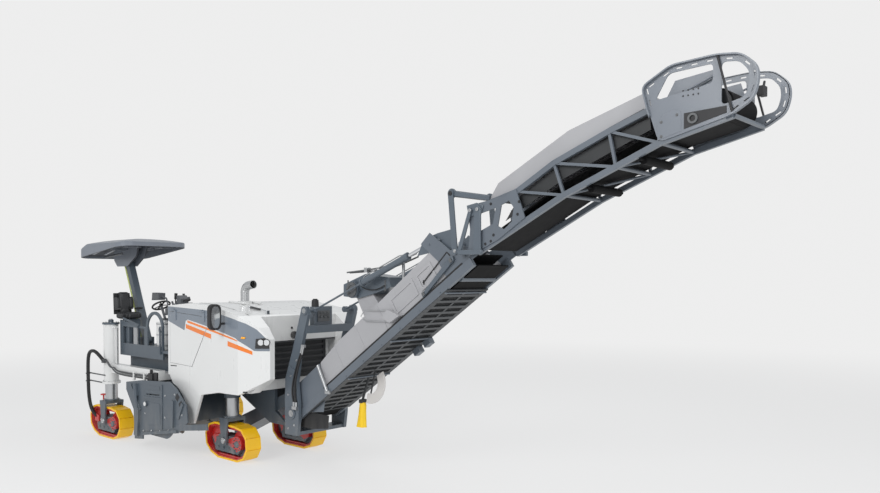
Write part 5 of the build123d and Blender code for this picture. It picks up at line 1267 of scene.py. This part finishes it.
for side, word in ((-1, "right"), (1, "left")):
    face_y = side * COVER_SIDE
    hatches = bmesh.new()
    for s0, s1 in ((2.56, 3.06), (3.12, 3.44)):
        y0, y1 = sorted((face_y + side * 0.0003, face_y + side * 0.004))
        add_plate(hatches, in_side([(s0 + 0.043, 0.133), (s1 - 0.043, 0.133), (s1 - 0.043, 0.287),
                                    (s0 + 0.043, 0.287)]), y0, y1)
    finished(f"hatch_panels_{word}", hatches, cover_sheet, "lower_conveyor", bevel=0.001)
    seals = bmesh.new()
    y0, y1 = sorted((face_y + side * 0.0103, face_y + side * 0.018))
    for a, b in (((3.20, 0.165), (3.74, 0.255)), ((3.20, 0.14), (3.225, 0.19)),
                 ((3.74, 0.255), (3.76, 0.19))):
        run = Vector((b[0] - a[0], b[1] - a[1])).normalized() * 0.007
        add_plate(seals, in_side([(a[0] - run.y, a[1] + run.x), (a[0] + run.y, a[1] - run.x),
                                  (b[0] + run.y, b[1] - run.x), (b[0] - run.y, b[1] + run.x)]), y0, y1)
    finished(f"hatch_seals_{word}", seals, apron_rubber, "lower_conveyor", bevel=0.002)
    stay = bmesh.new()
    y0, y1 = sorted((face_y + side * 0.0103, face_y + side * 0.05))
    add_plate(stay, in_side([(3.12, -0.005), (3.80, 0.095), (3.81, 0.15), (3.76, 0.16), (3.12, 0.045)]),
              y0, y1)
    finished(f"hatch_stay_{word}", stay, arm_slate, "lower_conveyor", bevel=0.008)
    grips = bmesh.new()
    y0, y1 = sorted((face_y + side * 0.05, face_y + side * 0.066))
    for s, n_low in ((3.16, 0.0), (3.76, 0.09)):
        add_plate(grips, in_side([(s - 0.02, n_low), (s + 0.02, n_low), (s + 0.02, n_low + 0.05),
                                  (s - 0.02, n_low + 0.05)]), y0, y1)
    finished(f"hatch_catches_{word}", grips, hose_grey, "lower_conveyor", bevel=0.004)
    foot_seal = bmesh.new()
    y0, y1 = sorted((face_y + side * 0.0004, face_y + side * 0.020))
    add_plate(foot_seal, in_side([(0.76, -0.019), (3.87, -0.019), (3.865, 0.012), (0.76, 0.012)]), y0, y1)
    finished(f"cover_foot_seal_{word}", foot_seal, apron_rubber, "lower_conveyor", bevel=0.003)
    strip = bmesh.new()
    for s in (1.25, 1.78, 2.30):
        y0, y1 = sorted((face_y + side * 0.0003, face_y + side * 0.0035))
        add_plate(strip, in_side([(s, 0.02), (s + 0.03, 0.02), (s + 0.03, 0.385), (s, 0.385)]), y0, y1)
    finished(f"cover_seams_{word}", strip, cover_sheet, "lower_conveyor", bevel=0.001)
    bolts = bmesh.new()
    outer = side * 0.4052
    for k in range(8):
        add_bolts(bolts, [up_conveyor(0.45 + 0.42 * k, -0.105, outer)], (0, side, 0), radius=0.008,
                  height=0.009)
    for s, n in ((3.72, 0.10), (3.95, 0.05), (3.56, 0.50), (3.72, 0.46)):
        add_bolts(bolts, [up_conveyor(s, n, side * 0.3842)], (0, side, 0), radius=0.012, height=0.01)
    finished(f"rail_bolts_{word}", bolts, arm_slate, "lower_conveyor", bevel=0.001)
    bracket = bmesh.new()
    y0, y1 = sorted((side * 0.332, side * 0.346))
    add_plate(bracket, [(3.70, 3.10), (3.78, 3.25), (3.89, 3.335), (4.05, 3.38), (4.28, 3.42), (4.36, 3.30),
                        (4.25, 3.14), (4.05, 3.16)], y0, y1)
    add_ring(bracket, (ROD_EYE[0], side * 0.346, ROD_EYE[1]), (0, side, 0), 0.062, 0.034, 0.016, sides=28)
    finished(f"cylinder_bracket_{word}", bracket, arm_slate, "lower_conveyor", bevel=0.004)
    eye_pin = bmesh.new()
    add_bar(eye_pin, (ROD_EYE[0], side * 0.3462, ROD_EYE[1]), (ROD_EYE[0], side * 0.375, ROD_EYE[1]), 0.0325,
            sides=24)
    finished(f"cylinder_pin_{word}", eye_pin, bright_steel, "lower_conveyor", bevel=0.003)

mesh_bars = bmesh.new()
for k in range(72):
    s = 0.27 + k * 0.0452
    for y0, y1 in ((-0.31, -0.03), (0.03, 0.31)):
        add_bar(mesh_bars, up_conveyor(s, -0.137, y0), up_conveyor(s, -0.137, y1), 0.0028, sides=6)
for j in range(12):
    y = 0.045 + 0.0235 * j
    for side in (-1, 1):
        add_bar(mesh_bars, up_conveyor(0.26, -0.1345, side * y), up_conveyor(3.49, -0.1345, side * y), 0.0024,
                sides=6)
finished("guard_mesh", mesh_bars, trough_dark, "lower_conveyor")
struts = bmesh.new()
for s, n in ((1.30, -0.155), (2.30, -0.155), (3.45, -0.155)):
    add_bar(struts, up_conveyor(s, n, -0.40), up_conveyor(s, n, 0.40), 0.012, sides=14)
add_bar(struts, up_conveyor(3.70, -0.11, -0.33), up_conveyor(3.70, -0.11, 0.33), 0.036, sides=20)
finished("guard_struts", struts, rail_slate, "lower_conveyor", bevel=0.001)
side_boxes = bmesh.new()
for s in (1.95, 2.18):
    add_plate(side_boxes, in_side([(s, -0.235), (s + 0.13, -0.235), (s + 0.13, -0.145), (s, -0.145)]),
              0.31, 0.41)
finished("guard_side_boxes", side_boxes, rail_slate, "lower_conveyor", bevel=0.005)

for y, line_points, name in (
    (-0.20, [(2.20, 2.90), (2.70, 2.935), (3.12, 3.0), (3.55, 3.14)], "high"),
    (-0.165, [(2.22, 2.895), (2.72, 2.915), (3.12, 2.96), (3.55, 3.10)], "low"),
):
    tube(f"cover_pipe_{name}", [(x, y, z) for x, z in line_points], 0.011, hose_grey, "lower_conveyor")
pipe_clamps = bmesh.new()
for x, z in ((2.60, 2.93), (3.30, 3.05)):
    add_block(pipe_clamps, x - 0.03, x + 0.03, -0.222, -0.145, z - 0.03, z + 0.035)
add_block(pipe_clamps, 3.285, 3.315, -0.20, -0.17, 2.60, 3.03)
add_block(pipe_clamps, 2.585, 2.615, -0.178, -0.155, 2.86, 2.91)
finished("pipe_clamps", pipe_clamps, bright_steel, "lower_conveyor", bevel=0.003)
rail_points = [(2.77, 2.385), (3.25, 2.398), (3.33, 2.37), (3.25, 2.25), (2.79, 2.245), (2.70, 2.30),
               (2.77, 2.385)]
tube("light_box_rail", [(x, -0.40, z) for x, z in rail_points], 0.007, bright_steel, "lower_conveyor",
     smooth=False)
rail_feet = bmesh.new()
for x, z in ((2.80, 2.386), (3.20, 2.397), (2.82, 2.245), (3.15, 2.249)):
    add_bar(rail_feet, (x, -0.3719, z), (x, -0.40, z), 0.006)
finished("light_box_rail_feet", rail_feet, bright_steel, "lower_conveyor")
fan = bmesh.new()
FAN_X = 2.33
FAN_Z = 2.66
add_ring(fan, (FAN_X, -0.2303, FAN_Z), (0, -1, 0), 0.105, 0.06, 0.014, sides=40)
add_bar(fan, (FAN_X, -0.2303, FAN_Z), (FAN_X, -0.236, FAN_Z), 0.058, sides=32)
fan_bolts = [(FAN_X + 0.09 * cos(k * pi / 3), -0.244, FAN_Z + 0.09 * sin(k * pi / 3)) for k in range(6)]
add_bolts(fan, fan_bolts, (0, -1, 0), radius=0.007, height=0.008)
for s in (2.20, 2.95):
    add_block(fan, s - 0.012, s + 0.012, -0.1865, -0.1802, 2.64, 2.79)
finished("fan_cover", fan, hose_grey, "lower_conveyor", bevel=0.002)
tube("fan_cable", [(2.95, -0.20, 2.72), (2.85, -0.21, 2.665), (2.65, -0.21, 2.655), (2.5, -0.205, 2.70),
                   (2.46, -0.19, 2.74)], 0.008, hose_black, "lower_conveyor")

tail = bmesh.new()
add_bar(tail, (1.79, -0.402, 1.57), (2.03, -0.431, 1.22), 0.024, sides=20)
add_block(tail, 1.985, 2.075, -0.440, -0.4052, 1.185, 1.235)
stay_silver = coat("stay_silver", (0.42, 0.43, 0.44, 1), (0.6, 0.6, 0.6, 1), metallic=0.6, Roughness=0.35,
                   Dust=0.1)
finished("silver_stay", tail, stay_silver, "lower_conveyor", bevel=0.003)
aprons = bmesh.new()
add_plate(aprons, [(1.20, 0.62), (1.60, 0.62), (1.95, 0.67), (1.97, 0.86), (1.62, 0.86), (1.20, 0.78)],
          -0.351, -0.343)
finished("tail_apron", aprons, apron_rubber, "lower_conveyor", bevel=0.003)
steel_apron = bmesh.new()
add_plate(steel_apron, [(1.50, 0.86), (1.86, 0.90), (1.90, 1.10), (1.70, 1.0), (1.50, 0.90)], -0.353, -0.3515)
finished("tail_apron_rail", steel_apron, rail_slate, "lower_conveyor")

# Hose reel and its yellow sleeve under the tail of the conveyor.
reel_white = coat("reel_white", (0.62, 0.60, 0.58, 1), (0.6, 0.6, 0.6, 1), Roughness=0.45, Dust=0.2, Skin=0.3)
REEL = (2.44, 1.36)
reel = bmesh.new()
sweep = [radians(a) for a in range(-100, 31, 10)]
rings = []
for a in sweep:
    for_one = []
    for radius, y in ((0.32, -0.012), (0.32, 0.012), (0.18, 0.012), (0.18, -0.012)):
        for_one.append(reel.verts.new(at(REEL[0] + radius * cos(a), y, REEL[1] + radius * sin(a))))
    rings.append(for_one)
reel.faces.new(rings[0][::-1])
reel.faces.new(rings[-1])
for first, second in zip(rings, rings[1:]):
    for k in range(4):
        j = (k + 1) % 4
        reel.faces.new((first[k], first[j], second[j], second[k]))
finished("reel_shield", reel, reel_white, "lower_conveyor", bevel=0.003)
hanger = bmesh.new()
add_bar(hanger, up_conveyor(1.29, -0.15, 0), (2.285, 0, 1.045), 0.018, sides=14)
add_bar(hanger, up_conveyor(1.45, -0.15, 0), (2.47, 0, 1.19), 0.012, sides=12)
add_block(hanger, 2.27, 2.33, -0.05, 0.05, 1.04, 1.09)
finished("sleeve_hanger", hanger, trough_dark, "lower_conveyor", bevel=0.002)
sleeve = bmesh.new()
SLEEVE_X = 2.30
SLEEVE_TOP = 1.045
SLEEVE_DROP = 0.355
SLEEVE_SIDES = 36
SLEEVE_RINGS = (  # height, half width along x and along y, shift along x; the last two line the inside
    (SLEEVE_TOP, 0.042, 0.045, 0), (1.0, 0.05, 0.05, 0.004), (0.86, 0.058, 0.05, -0.008),
    (0.74, 0.075, 0.055, -0.02), (0.69, 0.086, 0.056, -0.024), (0.69, 0.082, 0.052, -0.024),
    (1.0, 0.046, 0.046, 0.004),
)
chain = []
for z, half_x, half_y, shift in SLEEVE_RINGS:
    ring = []
    for k in range(SLEEVE_SIDES):
        a = 2 * pi * k / SLEEVE_SIDES
        fold = 1 + 0.09 * sin(5 * a + z * 9) * (SLEEVE_TOP - z) / SLEEVE_DROP
        x = SLEEVE_X + shift + half_x * cos(a) * fold
        ring.append(sleeve.verts.new(at(x, half_y * sin(a) * fold, z)))
    chain.append(ring)
for first, second in zip(chain, chain[1:]):
    for k in range(SLEEVE_SIDES):
        j = (k + 1) % SLEEVE_SIDES
        sleeve.faces.new((first[k], first[j], second[j], second[k]))
sleeve.faces.new(chain[0])
sleeve.faces.new(chain[-1][::-1])
sleeve_yellow = coat("sleeve_yellow", (0.86, 0.56, 0.01, 1), (0.9, 0.7, 0.2, 1), Roughness=0.5, Dust=0.1,
                     Edge=0.1, Skin=0.5)
finished("yellow_drop_sleeve", sleeve, sleeve_yellow, "lower_conveyor", sharp=60)

# Fold joint: bolts and ground pins on slate plates, two struts a side with their feet, lugs over them with
# their own pins, and the caps of the rocker's pivots.
FOLD = (4.6471, 3.1182)
JOINT_FACE = 0.4262


def from_fold(points):
    """Side outline given from the fold pin, turned into datum (x, z)."""
    return [(FOLD[0] + x, FOLD[1] + z) for x, z in points]


def add_pair(form, outline, inner, outer):
    """Like plates on the right and the left, between two distances from the middle."""
    for side in (-1, 1):
        add_plate(form, outline, *sorted((side * inner, side * outer)))


joint_trim = bmesh.new()
for side in (-1, 1):
    y = side * JOINT_FACE
    add_bar(joint_trim, (FOLD[0], y, FOLD[1]), (FOLD[0], side * 0.436, FOLD[1]), 0.024, sides=24, tip=0.02)
finished("fold_pin_caps", joint_trim, bright_steel, "outer_conveyor", bevel=0.002)
plate_bolts = bmesh.new()
for side in (-1, 1):
    y = side * JOINT_FACE
    for x, z in ((0.22, 0.10), (0.30, 0.13), (0.34, 0.20), (0.68, 0.42), (0.70, 0.56), (0.30, 0.56)):
        add_bolts(plate_bolts, [(FOLD[0] + x, y, FOLD[1] + z)], (0, side, 0), radius=0.013, height=0.010)
finished("joint_bolts", plate_bolts, moulded_black, "outer_conveyor", bevel=0.001)
struts = bmesh.new()
for side in (-1, 1):
    y0, y1 = sorted((side * 0.4444, side * 0.468))
    for (a, b), (c, d), wide in (((0.12, 0.0), (0.13, 0.52), 0.058), ((-0.15, 0.03), (0.02, 0.51), 0.030)):
        run = Vector((c - a, d - b)).normalized() * wide
        add_plate(struts, from_fold(((a - run.y, b + run.x), (a + run.y, b - run.x),
                                     (c + run.y * 0.8, d - run.x * 0.8), (c + run.x * 0.6, d + run.y * 0.6),
                                     (c - run.y * 0.8, d + run.x * 0.8))), y0, y1)
finished("fold_struts", struts, arm_slate, "outer_conveyor", bevel=0.007)
strut_foot = bmesh.new()
add_pair(strut_foot, from_fold(((-0.17, -0.02), (0.19, -0.02), (0.19, 0.035), (-0.17, 0.035))), 0.4266, 0.474)
finished("fold_strut_feet", strut_foot, arm_slate, "outer_conveyor", bevel=0.006)
lugs = bmesh.new()
lug_edge = ((-0.02, 0.43), (0.16, 0.44), (0.20, 0.55), (0.10, 0.585), (-0.05, 0.56))
add_pair(lugs, from_fold(lug_edge), JOINT_FACE, 0.444)
finished("joint_lugs", lugs, arm_slate, "outer_conveyor", bevel=0.004)
lug_pins = bmesh.new()
for side in (-1, 1):
    for a, b in ((0.02, 0.50), (0.13, 0.505)):
        add_bar(lug_pins, (FOLD[0] + a, side * 0.4682, FOLD[1] + b), (FOLD[0] + a, side * 0.480, FOLD[1] + b),
                0.022, sides=20)
finished("joint_lug_pins", lug_pins, bright_steel, "outer_conveyor", bevel=0.003)
rocker_caps = bmesh.new()
ROCKER_TOP = (4.3071, 3.8482)
for side in (-1, 1):
    add_bar(rocker_caps, (ROCKER_TOP[0], side * 0.4052, ROCKER_TOP[1]),
            (ROCKER_TOP[0], side * 0.416, ROCKER_TOP[1]), 0.03, sides=24, tip=0.026)
finished("rocker_caps", rocker_caps, moulded_black, "rocker", bevel=0.002)
foot_caps = bmesh.new()
for side in (-1, 1):
    add_bar(foot_caps, (4.3771, side * 0.4052, 3.1482), (4.3771, side * 0.414, 3.1482), 0.024, sides=24,
            tip=0.02)
finished("rocker_foot_caps", foot_caps, bright_steel, "lower_conveyor", bevel=0.002)

# Outer section: tubular truss with cross stays, light cover with dark edge seals, and a rubber belt on return
# rollers between the trough's side sheets.
OUTER_FOOT = [(0.09, 0), (1.27, 0.595), (1.89, 0.84), (2.37, 1.03), (3.09, 1.20)]
rollers = bmesh.new()
for a, b in ((1.55, 0.655), (2.15, 0.895)):
    x, z = FOLD[0] + a, FOLD[1] + b
    add_bar(rollers, (x, -0.30, z), (x, 0.30, z), 0.045, sides=24)
    add_bar(rollers, (x, -0.37, z), (x, 0.37, z), 0.014, sides=12)
finished("return_rollers", rollers, belt_rubber, "outer_conveyor", bevel=0.003)
stays = bmesh.new()
for (x0, z0), (x1, z1) in ((OUTER_FOOT[1], OUTER_FOOT[2]), (OUTER_FOOT[2], OUTER_FOOT[3])):
    add_bar(stays, (FOLD[0] + x0, -0.375, FOLD[1] + z0), (FOLD[0] + x1, 0.375, FOLD[1] + z1), 0.014, sides=12)
finished("outer_cross_stays", stays, rail_slate, "outer_conveyor")
trough = bmesh.new()
trough_edge = ((0.45, 0.36), (1.25, 0.785), (1.88, 1.035), (2.25, 1.18), (2.24, 1.30), (1.80, 1.165),
               (1.14, 0.905), (0.65, 0.63))
add_pair(trough, from_fold(trough_edge), 0.335, 0.343)
finished("outer_trough_sides", trough, trough_dark, "outer_conveyor", bevel=0.001)
top_seal = bmesh.new()
seal_edge = ((0.70, 0.745), (1.14, 0.985), (1.81, 1.245), (2.18, 1.375), (2.18, 1.395), (1.81, 1.265),
             (1.14, 1.005), (0.70, 0.765))
add_pair(top_seal, from_fold(seal_edge), 0.3525, 0.358)
finished("outer_cover_seals", top_seal, apron_rubber, "outer_conveyor")

# Discharge guards: cut and slotted plates with folded rims round the head drum, in place of the plain solids,
# with a divider bar, the bearing housings and a small work lamp on the left guard.
guard_grey = coat("guard_grey", (0.155, 0.175, 0.205, 1), (0.35, 0.37, 0.4, 1), coat_weight=0.2,
                  Roughness=0.4, Dust=0.15, Edge=0.4)
GUARD_IN = 0.4102
GUARD_OUT = 0.4222
RIM_OUT = 0.456
RIM_CORNERS = 9
CORNER_STEPS = (0, 0.25, 0.5, 0.75, 1)
GUARD_EDGE = [(2.26, 1.36), (2.20, 1.59), (2.50, 1.75), (2.95, 1.77), (3.18, 1.74), (3.32, 1.61),
              (3.335, 1.48), (3.29, 1.32), (3.09, 1.20), (2.37, 1.03)]
WINDOWS = [[(2.33, 1.44), (2.47, 1.68), (2.91, 1.70), (2.91, 1.52)],
           [(2.99, 1.70), (3.15, 1.68), (3.24, 1.58), (3.25, 1.48), (3.21, 1.35), (2.99, 1.30)]]


def rounded(points, reach):
    """Outline with each corner turned into a short curve that starts reach before it."""
    made = []
    for k, corner in enumerate(points):
        here = Vector(corner)
        before, after = Vector(points[k - 1]), Vector(points[(k + 1) % len(points)])
        a = here + (before - here).normalized() * min(reach, (before - here).length * 0.45)
        b = here + (after - here).normalized() * min(reach, (after - here).length * 0.45)
        for t in CORNER_STEPS:
            made.append((1 - t) ** 2 * a + 2 * t * (1 - t) * here + t ** 2 * b)
    return made


def add_cut_plate(form, outline, holes, y0, y1):
    """Plate between y0 and y1 with holes through it."""
    loops = [outline] + holes
    flat = [p for ring in loops for p in ring]
    low = [form.verts.new(at(FOLD[0] + p[0], y0, FOLD[1] + p[1])) for p in flat]
    high = [form.verts.new(at(FOLD[0] + p[0], y1, FOLD[1] + p[1])) for p in flat]
    for a, b, c in tessellate_polygon([[Vector((p[0], p[1], 0)) for p in ring] for ring in loops]):
        form.faces.new((low[a], low[b], low[c]))
        form.faces.new((high[c], high[b], high[a]))
    start = 0
    for ring in loops:
        count = len(ring)
        for k in range(count):
            i, j = start + k, start + (k + 1) % count
            form.faces.new((low[i], low[j], high[j], high[i]))
        start += count


guard_holes = [rounded(window, 0.05) for window in WINDOWS]
for a, b in zip(GUARD_EDGE[:RIM_CORNERS], GUARD_EDGE[1:RIM_CORNERS]):
    start, end = Vector(a), Vector(b)
    run = end - start
    inward = Vector((run.y, -run.x)).normalized()
    count = max(1, round((run.length - 0.06) / 0.115))
    for k in range(count):
        middle = start + run * ((k + 0.5) / count) + inward * 0.036
        half = run.normalized() * 0.030
        across = inward * 0.0075
        guard_holes.append([middle - half - across, middle + half - across, middle + half + across,
                            middle - half + across])
guards = bmesh.new()
edge = rounded(GUARD_EDGE, 0.07)
for side in (-1, 1):
    add_cut_plate(guards, edge, guard_holes, *sorted((side * GUARD_IN, side * GUARD_OUT)))
    rim = edge[:RIM_CORNERS * len(CORNER_STEPS)]
    rings = []
    for k, p in enumerate(rim):
        before, after = rim[max(k - 1, 0)], rim[min(k + 1, len(rim) - 1)]
        out = Vector((before.y - after.y, after.x - before.x)).normalized()
        rings.append([guards.verts.new(at(FOLD[0] + p.x + out.x * d, side * y, FOLD[1] + p.y + out.y * d))
                      for d, y in ((0.007, GUARD_IN), (0.007, RIM_OUT), (-0.007, RIM_OUT),
                                   (-0.007, GUARD_IN))])
    guards.faces.new(rings[0])
    guards.faces.new(rings[-1][::-1])
    for first, second in zip(rings, rings[1:]):
        for k in range(4):
            j = (k + 1) % 4
            guards.faces.new((first[k], first[j], second[j], second[k]))
guard_piece = finished("slotted_discharge_guards", guards, guard_grey, "outer_conveyor")
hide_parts("discharge_guards")
inner_sheets = bmesh.new()
for side in (-1, 1):
    y0, y1 = sorted((side * 0.338, side * 0.345))
    add_plate(inner_sheets, from_fold((
        (2.40, 1.44), (2.50, 1.62), (2.88, 1.66), (2.93, 1.50), (2.84, 1.41), (2.60, 1.33))), y0, y1)
    for low in (0, 0.05):
        add_bar(inner_sheets, (FOLD[0] + 2.24, side * 0.38, FOLD[1] + 1.30 + low),
                (FOLD[0] + 2.95, side * 0.38, FOLD[1] + 1.565 + low), 0.011, sides=10)
finished("chute_side_sheets", inner_sheets, guard_grey, "outer_conveyor", bevel=0.002)
doors = bmesh.new()
door_edge = ((2.36, 1.05), (2.60, 1.11), (2.60, 1.30), (2.52, 1.33), (2.42, 1.29), (2.36, 1.20))
add_pair(doors, from_fold(door_edge), 0.4224, 0.4264)
finished("guard_doors", doors, guard_grey, "outer_conveyor", bevel=0.003)
bearings = bmesh.new()
# On each guard a black strip, a divider bar and eight black discs; the discs are painted shade where holes
# are.
divider_and_painted_hole_shade = bmesh.new()
for side in (-1, 1):
    add_ring(bearings, (FOLD[0] + 2.72, side * 0.4268, FOLD[1] + 1.215), (0, side, 0), 0.05, 0.03, 0.016,
             sides=36)
    for a, b in ((2.40, 1.08), (2.40, 1.22), (2.56, 1.27)):
        add_bolts(bearings, [(FOLD[0] + a, side * 0.4266, FOLD[1] + b)], (0, side, 0), radius=0.011,
                  height=0.008)
    y0, y1 = sorted((side * 0.4225, side * 0.4265))
    add_plate(divider_and_painted_hole_shade, from_fold(((2.63, 1.125), (3.04, 1.225), (3.04, 1.29), (2.63, 1.275))), y0, y1)
    for k in range(8):
        hole_x, hole_z = FOLD[0] + 2.62 + 0.05 * (k % 4), FOLD[1] + 1.44 + 0.05 * (k // 4)
        add_bar(divider_and_painted_hole_shade, (hole_x, side * 0.4225, hole_z), (hole_x, side * 0.425, hole_z), 0.009, sides=12)
    add_bar(divider_and_painted_hole_shade, (FOLD[0] + 2.955, side * 0.440, FOLD[1] + 1.762),
            (FOLD[0] + 3.10, side * 0.440, FOLD[1] + 1.215), 0.011, sides=14)
finished("head_bearings", bearings, hose_grey, "outer_conveyor", bevel=0.002)
finished("guard_divider_and_painted_hole_shade", divider_and_painted_hole_shade, moulded_black, "outer_conveyor", bevel=0.001)
lamp = bmesh.new()
add_block(lamp, FOLD[0] + 3.06, FOLD[0] + 3.12, 0.30, 0.405, FOLD[1] + 1.50, FOLD[1] + 1.60)
add_bar(lamp, (FOLD[0] + 3.09, 0.38, FOLD[1] + 1.60), (FOLD[0] + 3.09, 0.405, FOLD[1] + 1.66), 0.012)
finished("work_lamp", lamp, moulded_black, "outer_conveyor", bevel=0.006)
